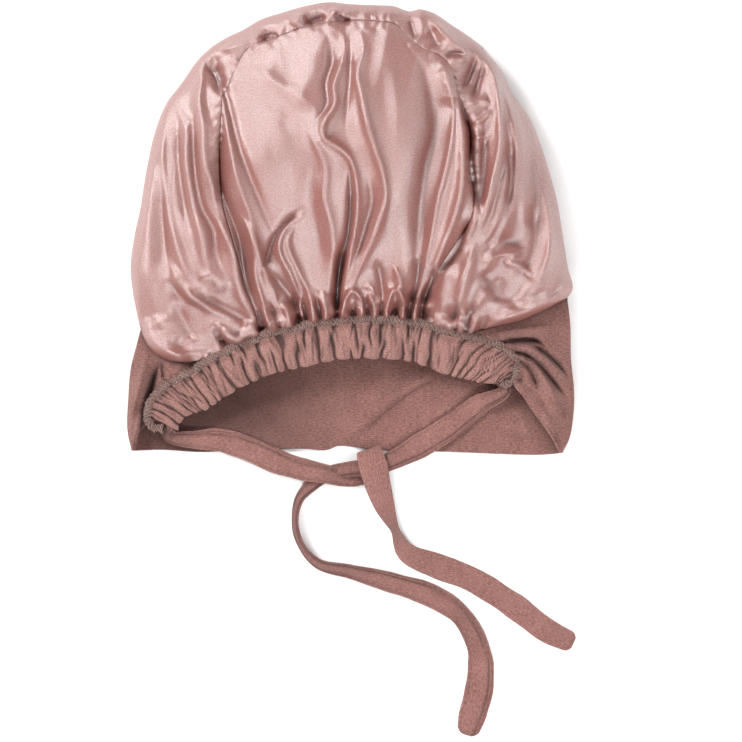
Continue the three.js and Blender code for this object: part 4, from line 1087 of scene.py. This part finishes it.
def overlock_seam():
    steps, around = 640, 18
    left_curl, right_curl = (spline(at(rows), 8) for rows in (LEFT_CURL, RIGHT_CURL))
    line = spline(np.vstack([left_curl, nape[4:-4:6], right_curl]), steps)
    s = along(line)
    random = np.random.default_rng(11)
    edges = gather_edges(3)
    wave = 0.5 * np.interp(s, edges, np.where(np.arange(len(edges)) % 2, -1.0, 1.0))
    left = np.column_stack([to_left(line), np.zeros(steps)])
    sway = 0.6 * ripple(s, 6, 70) + 0.5 * wave
    height = nape_height(nearest(NAPE_LINE, line)[1]) - OVERLOCK_THICKNESS / 2 + 0.9
    height += 0.6 * ripple(s, 5, 71)
    centre = np.column_stack([line, height]) + left * sway[:, None]
    # Bulky and slack in turn.
    bulk = 0.9 + 0.28 * ripple(s, 4.5, 74) + 0.12 * ripple(s, 1.6, 75)
    wide, high = bulk * OVERLOCK_WIDTH / 2, bulk * OVERLOCK_THICKNESS / 2
    ss, aa = np.meshgrid(s, np.linspace(0, 2 * math.pi, around, endpoint=False), indexing="ij")
    bump = 0.3 * rumple(ss, aa * 3, 1.3, 1.3, 72) + 0.45 * rumple(ss, aa * 2, 3.2, 2.2, 73)
    x = np.cos(aa) * (wide[:, None] + bump)
    z = np.sin(aa) * (high[:, None] + bump)
    up = np.array([0, 0, 1.0])
    points = centre[:, None] + left[:, None] * x[..., None] + up * z[..., None]
    parts = [points.reshape(-1, 3)]
    ground = [np.full(steps * around, 0.8)]
    faces = [grid_faces(steps, around, closed=True)]
    uvs = [np.stack([ss * 1.5, aa * 2], -1).reshape(-1, 2)]

    def add_thread(path, radius):
        made, quads = thin_tube(path, radius)
        faces.append(quads + sum(map(len, parts)))
        parts.append(made)
        uvs.append(made[:, :2] * 2)
        ground.append(np.zeros(len(made)))

    # Overlocking thread: slanting turns round the edge, with looser loops on top of it.
    for pitch, radius, grow, slant, seed in OVERLOCK_PASSES:
        turns = s[-1] / pitch
        n = int(turns * TURN_POINTS)
        uneven = 0.35 * random.standard_normal(n).cumsum() / TURN_POINTS
        turn = 2 * math.pi * (np.linspace(0, turns, n) + uneven)
        even = np.linspace(0, s[-1], n)
        jitter = ripple(even, 1.3, 80 + seed)
        where = np.clip(even + slant * np.cos(turn) + 0.5 * jitter, 0, s[-1])
        half_wide = np.cos(turn) * (np.interp(where, s, wide) + grow + 0.35 * jitter)
        half_high = np.sin(turn) * (np.interp(where, s, high) + grow * 0.8 + 0.35 * jitter)
        path = between(where, s, centre) + between(where, s, left) * half_wide[:, None]
        add_thread(path + up * half_high[:, None], radius)
    for rows in LOOSE_ENDS:
        path = spline(at(rows), 14)
        add_thread(np.column_stack([path, 9 - 4 * np.linspace(0, 1, len(path)) ** 2]), 0.22)
    return mesh_object(
        "overlock_thread", np.vstack(parts), np.vstack(faces), [thread], np.vstack(uvs),
        np.concatenate(ground),
    )


# The ties
# across and down in the photograph's pixels, lift in millimetres, share of the width, and roll in degrees
LEFT_TIE = [
    (194, 440, 3.4, 0.75, 6), (219, 440, 3.4, 1, 4), (248, 449, 3.2, 1, 0), (278, 462, 3, 1, 0),
    (305, 470, 4.2, 0.92, 0), (325, 474, 4.6, 0.8, 0), (345, 478, 2.2, 0.72, 0), (362, 477, 1.3, 0.68, 0),
    (373, 467, 1.3, 0.6, 0), (371, 456, 3, 0.75, 0), (369, 450, 5.2, 1, 0), (370, 455, 7.8, 1.15, 0),
    (374, 469, 8.2, 1.18, 0), (379, 489, 5.4, 1.05, 0), (386, 510, 3, 0.8, 0), (395, 530, 2.6, 0.38, 30),
    (407, 553, 2.4, 0.85, 12), (436, 566, 1.2, 1.05, 0), (472, 580, 1, 1, 0), (515, 607, 1, 1.05, 0),
    (547, 631, 1, 0.98, 0), (574, 644, 1, 0.86, 0),
]
RIGHT_TIE = [
    (479, 405, 4.2, 0.9, -6), (449, 428, 3.4, 1, 0), (418, 447, 3.4, 1, 0), (393, 460, 4.9, 0.8, 0),
    (373, 467, 5.3, 0.7, 0), (351, 469, 5.2, 0.66, 0), (329, 474, 1.6, 0.6, 0), (312, 485, 1.6, 0.56, 15),
    (299, 500, 3.2, 0.48, 40), (295, 522, 4.4, 0.48, 60), (301, 545, 4.4, 0.5, 55), (318, 564, 3, 0.5, 30),
    (350, 572, 1.8, 0.6, 8), (391, 583, 1.5, 0.85, 0), (431, 596, 1.5, 0.95, 0), (461, 616, 1.8, 0.85, 0),
    (479, 650, 1, 0.95, 0), (480, 686, 1, 1.2, 0), (472, 719, 1, 1.12, 0), (467, 736, 1, 0.85, 0),
]
TIE_START_WIDE = 0.42  # share of the width
TIE_FROM_MIDDLE = 0.3  # share of the casing's width
TIE_LEAD = 4.5
TIE_STEP = 0.6
TIE_ROUND_END = 4.0
TABLE_CLEARANCE = 0.1


def turned(vectors, axes, angles):
    """Vectors turned about unit axes."""
    c, s = np.cos(angles)[:, None], np.sin(angles)[:, None]
    along_axes = axes * np.sum(axes * vectors, 1, keepdims=True)
    return vectors * c + np.cross(axes, vectors) * s + along_axes * (1 - c)


def smooth_values(values, size):
    """Running mean of rows over that many of them, with the ends kept."""
    pad = size // 2
    padded = np.vstack([np.repeat(values[:1], pad, 0), values, np.repeat(values[-1:], pad, 0)])
    kernel = np.ones(size) / size
    return np.stack([np.convolve(column, kernel, "valid") for column in padded.T], 1)


def flat_lefts(tangent):
    """Nearly level vectors square to a path, which keep to one side where it turns steep or back."""
    lefts = np.zeros_like(tangent)
    kept = np.array([-tangent[0, 1], tangent[0, 0], 0.0])
    for i, d in enumerate(tangent):
        if abs(d[2]) < 0.8:
            side = np.array([-d[1], d[0], 0.0])
            side /= np.linalg.norm(side)
            kept = -side if side @ kept < 0 else side
        lefts[i] = kept
    lefts = smooth_values(lefts, 7)
    return unit(lefts - tangent * np.sum(lefts * tangent, 1, keepdims=True))


def tie(name, rows, end, seed):
    """A flat tie from one end of the casing, and the line it follows."""
    middle, across, _, width = (v[0] for v in casing_frame(np.array([float(end)])))
    out = np.array([-across[1], across[0], 0.0])
    out = out / np.linalg.norm(out) * (-1 if end else 1)
    start = middle - across * width * TIE_FROM_MIDDLE + out * 0.6
    table = np.array(rows, float)
    places = np.column_stack([at(table[:, :2]), table[:, 2]])
    line, number = smooth_line(np.vstack([start - out * 2.0, start, start + out * TIE_LEAD, places]))
    shape = np.vstack([[(TIE_START_WIDE, 0)] * 3, table[:, 3:]])
    length = along(line)[-1]
    steps, around = int(length / TIE_STEP), 34
    wanted = np.linspace(0, length, steps)
    centre = between(wanted, along(line), line)
    index = np.interp(wanted, along(line), number)
    wide, roll = smooth_values(between(index, np.arange(len(shape)), shape), 9).T
    tangent = unit(np.gradient(centre, axis=0))
    lefts = turned(flat_lefts(tangent), tangent, np.radians(roll))
    ups = np.cross(tangent, lefts)

    ring_across, ring_up = oblong_ring(around, 0.6, 0.8)
    s, w = np.meshgrid(wanted, ring_across, indexing="ij")
    up = np.tile(ring_up, (steps, 1))
    half = (TIE_WIDTH / 2) * wide * (1 + 0.04 * ripple(wanted, 11, seed))
    half *= np.sqrt(1 - 0.75 * clip01(1 - (length - wanted) / TIE_ROUND_END) ** 2)
    # Where it is drawn narrow, the tie crumples into lengthwise folds.
    fold = np.cos(w * 5.2 + 0.7 * ripple(s, 18, seed + 1)) * clip01((1 - wide[:, None]) * 1.7) * 0.45
    line_at = 0.55 + 0.12 * ripple(s, 25, seed + 6)
    folded_edge = 0.9 * bell(w - line_at, 0.08) + 0.6 * bell(w - line_at - 0.25, 0.06)
    folded_edge += 0.4 * bell(w + 0.78, 0.08)
    soft = 0.4 * rumple(s, w * 7, 12, 4, seed + 2) + 0.16 * rumple(s, w * 7, 4, 2.5, seed + 3)
    upper = clip01(up * 1.6)
    height = up * TIE_THICKNESS / 2 + upper * (fold - folded_edge * 0.6 + soft)
    aside = lefts[:, None] * (w * half[:, None])[..., None]
    points = centre[:, None] + aside + ups[:, None] * height[..., None]
    points[..., 2] = np.maximum(points[..., 2], TABLE_CLEARANCE)
    uv = np.stack([s, w * 7 + 16 * (up < 0)], -1)
    # Painted shade along the folded edges and in the lengthwise folds.
    shade = clip01(upper * (folded_edge + clip01(-fold) * 1.2))
    return cloth_tube(name, points, jersey, uv, shade), centre / 1000


# Camera, light and floor
SENSOR_WIDTH = 36
WORLD_LIGHT = 0.16
SOFTBOXES = [
    # name, place and size in metres, and power in watts
    ("key", (-1.35, 1.1, 1.25), (0.8, 0.8), 56),
    ("top", (0.1, 0.1, 2.8), (2.8, 1.8), 11),
    ("side", (1.4, 0.1, 1.2), (0.4, 1.8), 16),
    ("front", (0.1, -1.3, 1.1), (1.5, 0.4), 25),
]
FLOOR_HALF = 3000


def softbox(name, place, size, power):
    """A rectangular light that faces the origin."""
    data = bpy.data.lights.new(name, "AREA")
    data.shape = "RECTANGLE"
    data.size, data.size_y = size
    data.energy = power
    lamp = bpy.data.objects.new(name, data)
    lamp.location = place
    lamp.rotation_euler = (-Vector(place)).to_track_quat("-Z", "Y").to_euler()
    bpy.context.scene.collection.objects.link(lamp)


def stage():
    scene = bpy.context.scene
    camera_data = bpy.data.cameras.new("camera")
    camera = bpy.data.objects.new("camera", camera_data)
    scene.collection.objects.link(camera)
    x, y = at((PHOTO_MIDDLE, PHOTO_MIDDLE))
    camera.location = (x / 1000, y / 1000, CAMERA_HEIGHT / 1000)
    camera_data.sensor_width = SENSOR_WIDTH
    camera_data.lens = SENSOR_WIDTH * (CAMERA_HEIGHT - FOCUS_HEIGHT) / (PHOTO_WIDTH * PIXEL)
    camera_data.clip_start, camera_data.clip_end = 0.1, 20
    scene.camera = camera
    scene.view_settings.view_transform = "Standard"
    scene.view_settings.look = "None"

    scene.world = bpy.data.worlds.new("studio")
    scene.world.use_nodes = True
    background = scene.world.node_tree.nodes["Background"]
    background.inputs[0].default_value = (1, 1, 1, 1)
    background.inputs[1].default_value = WORLD_LIGHT
    for row in SOFTBOXES:
        softbox(*row)
    corners = [(-1, -1, 0), (1, -1, 0), (1, 1, 0), (-1, 1, 0)]
    floor = mesh_object("floor", FLOOR_HALF * np.array(corners), [(0, 1, 2, 3)], [floor_material()])


stage()
tie_left, left_path = tie("tie_left_jersey", LEFT_TIE, 0, 90)
tie_right, right_path = tie("tie_right_jersey", RIGHT_TIE, 1, 95)
pieces = {
    "crown_back_panel": (back_panel(), "satin"),
    "crown_side_panel": (side_panel(), "satin"),
    "front_band": (front_band(), "jersey"),
    "nape_casing": (nape_casing(), "jersey"),
    "overlock_seam": (overlock_seam(), "thread"),
    "tie_left": (tie_left, "jersey"),
    "tie_right": (tie_right, "jersey"),
}
for name, (piece, slot) in pieces.items():
    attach(piece, "root")
    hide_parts(name)
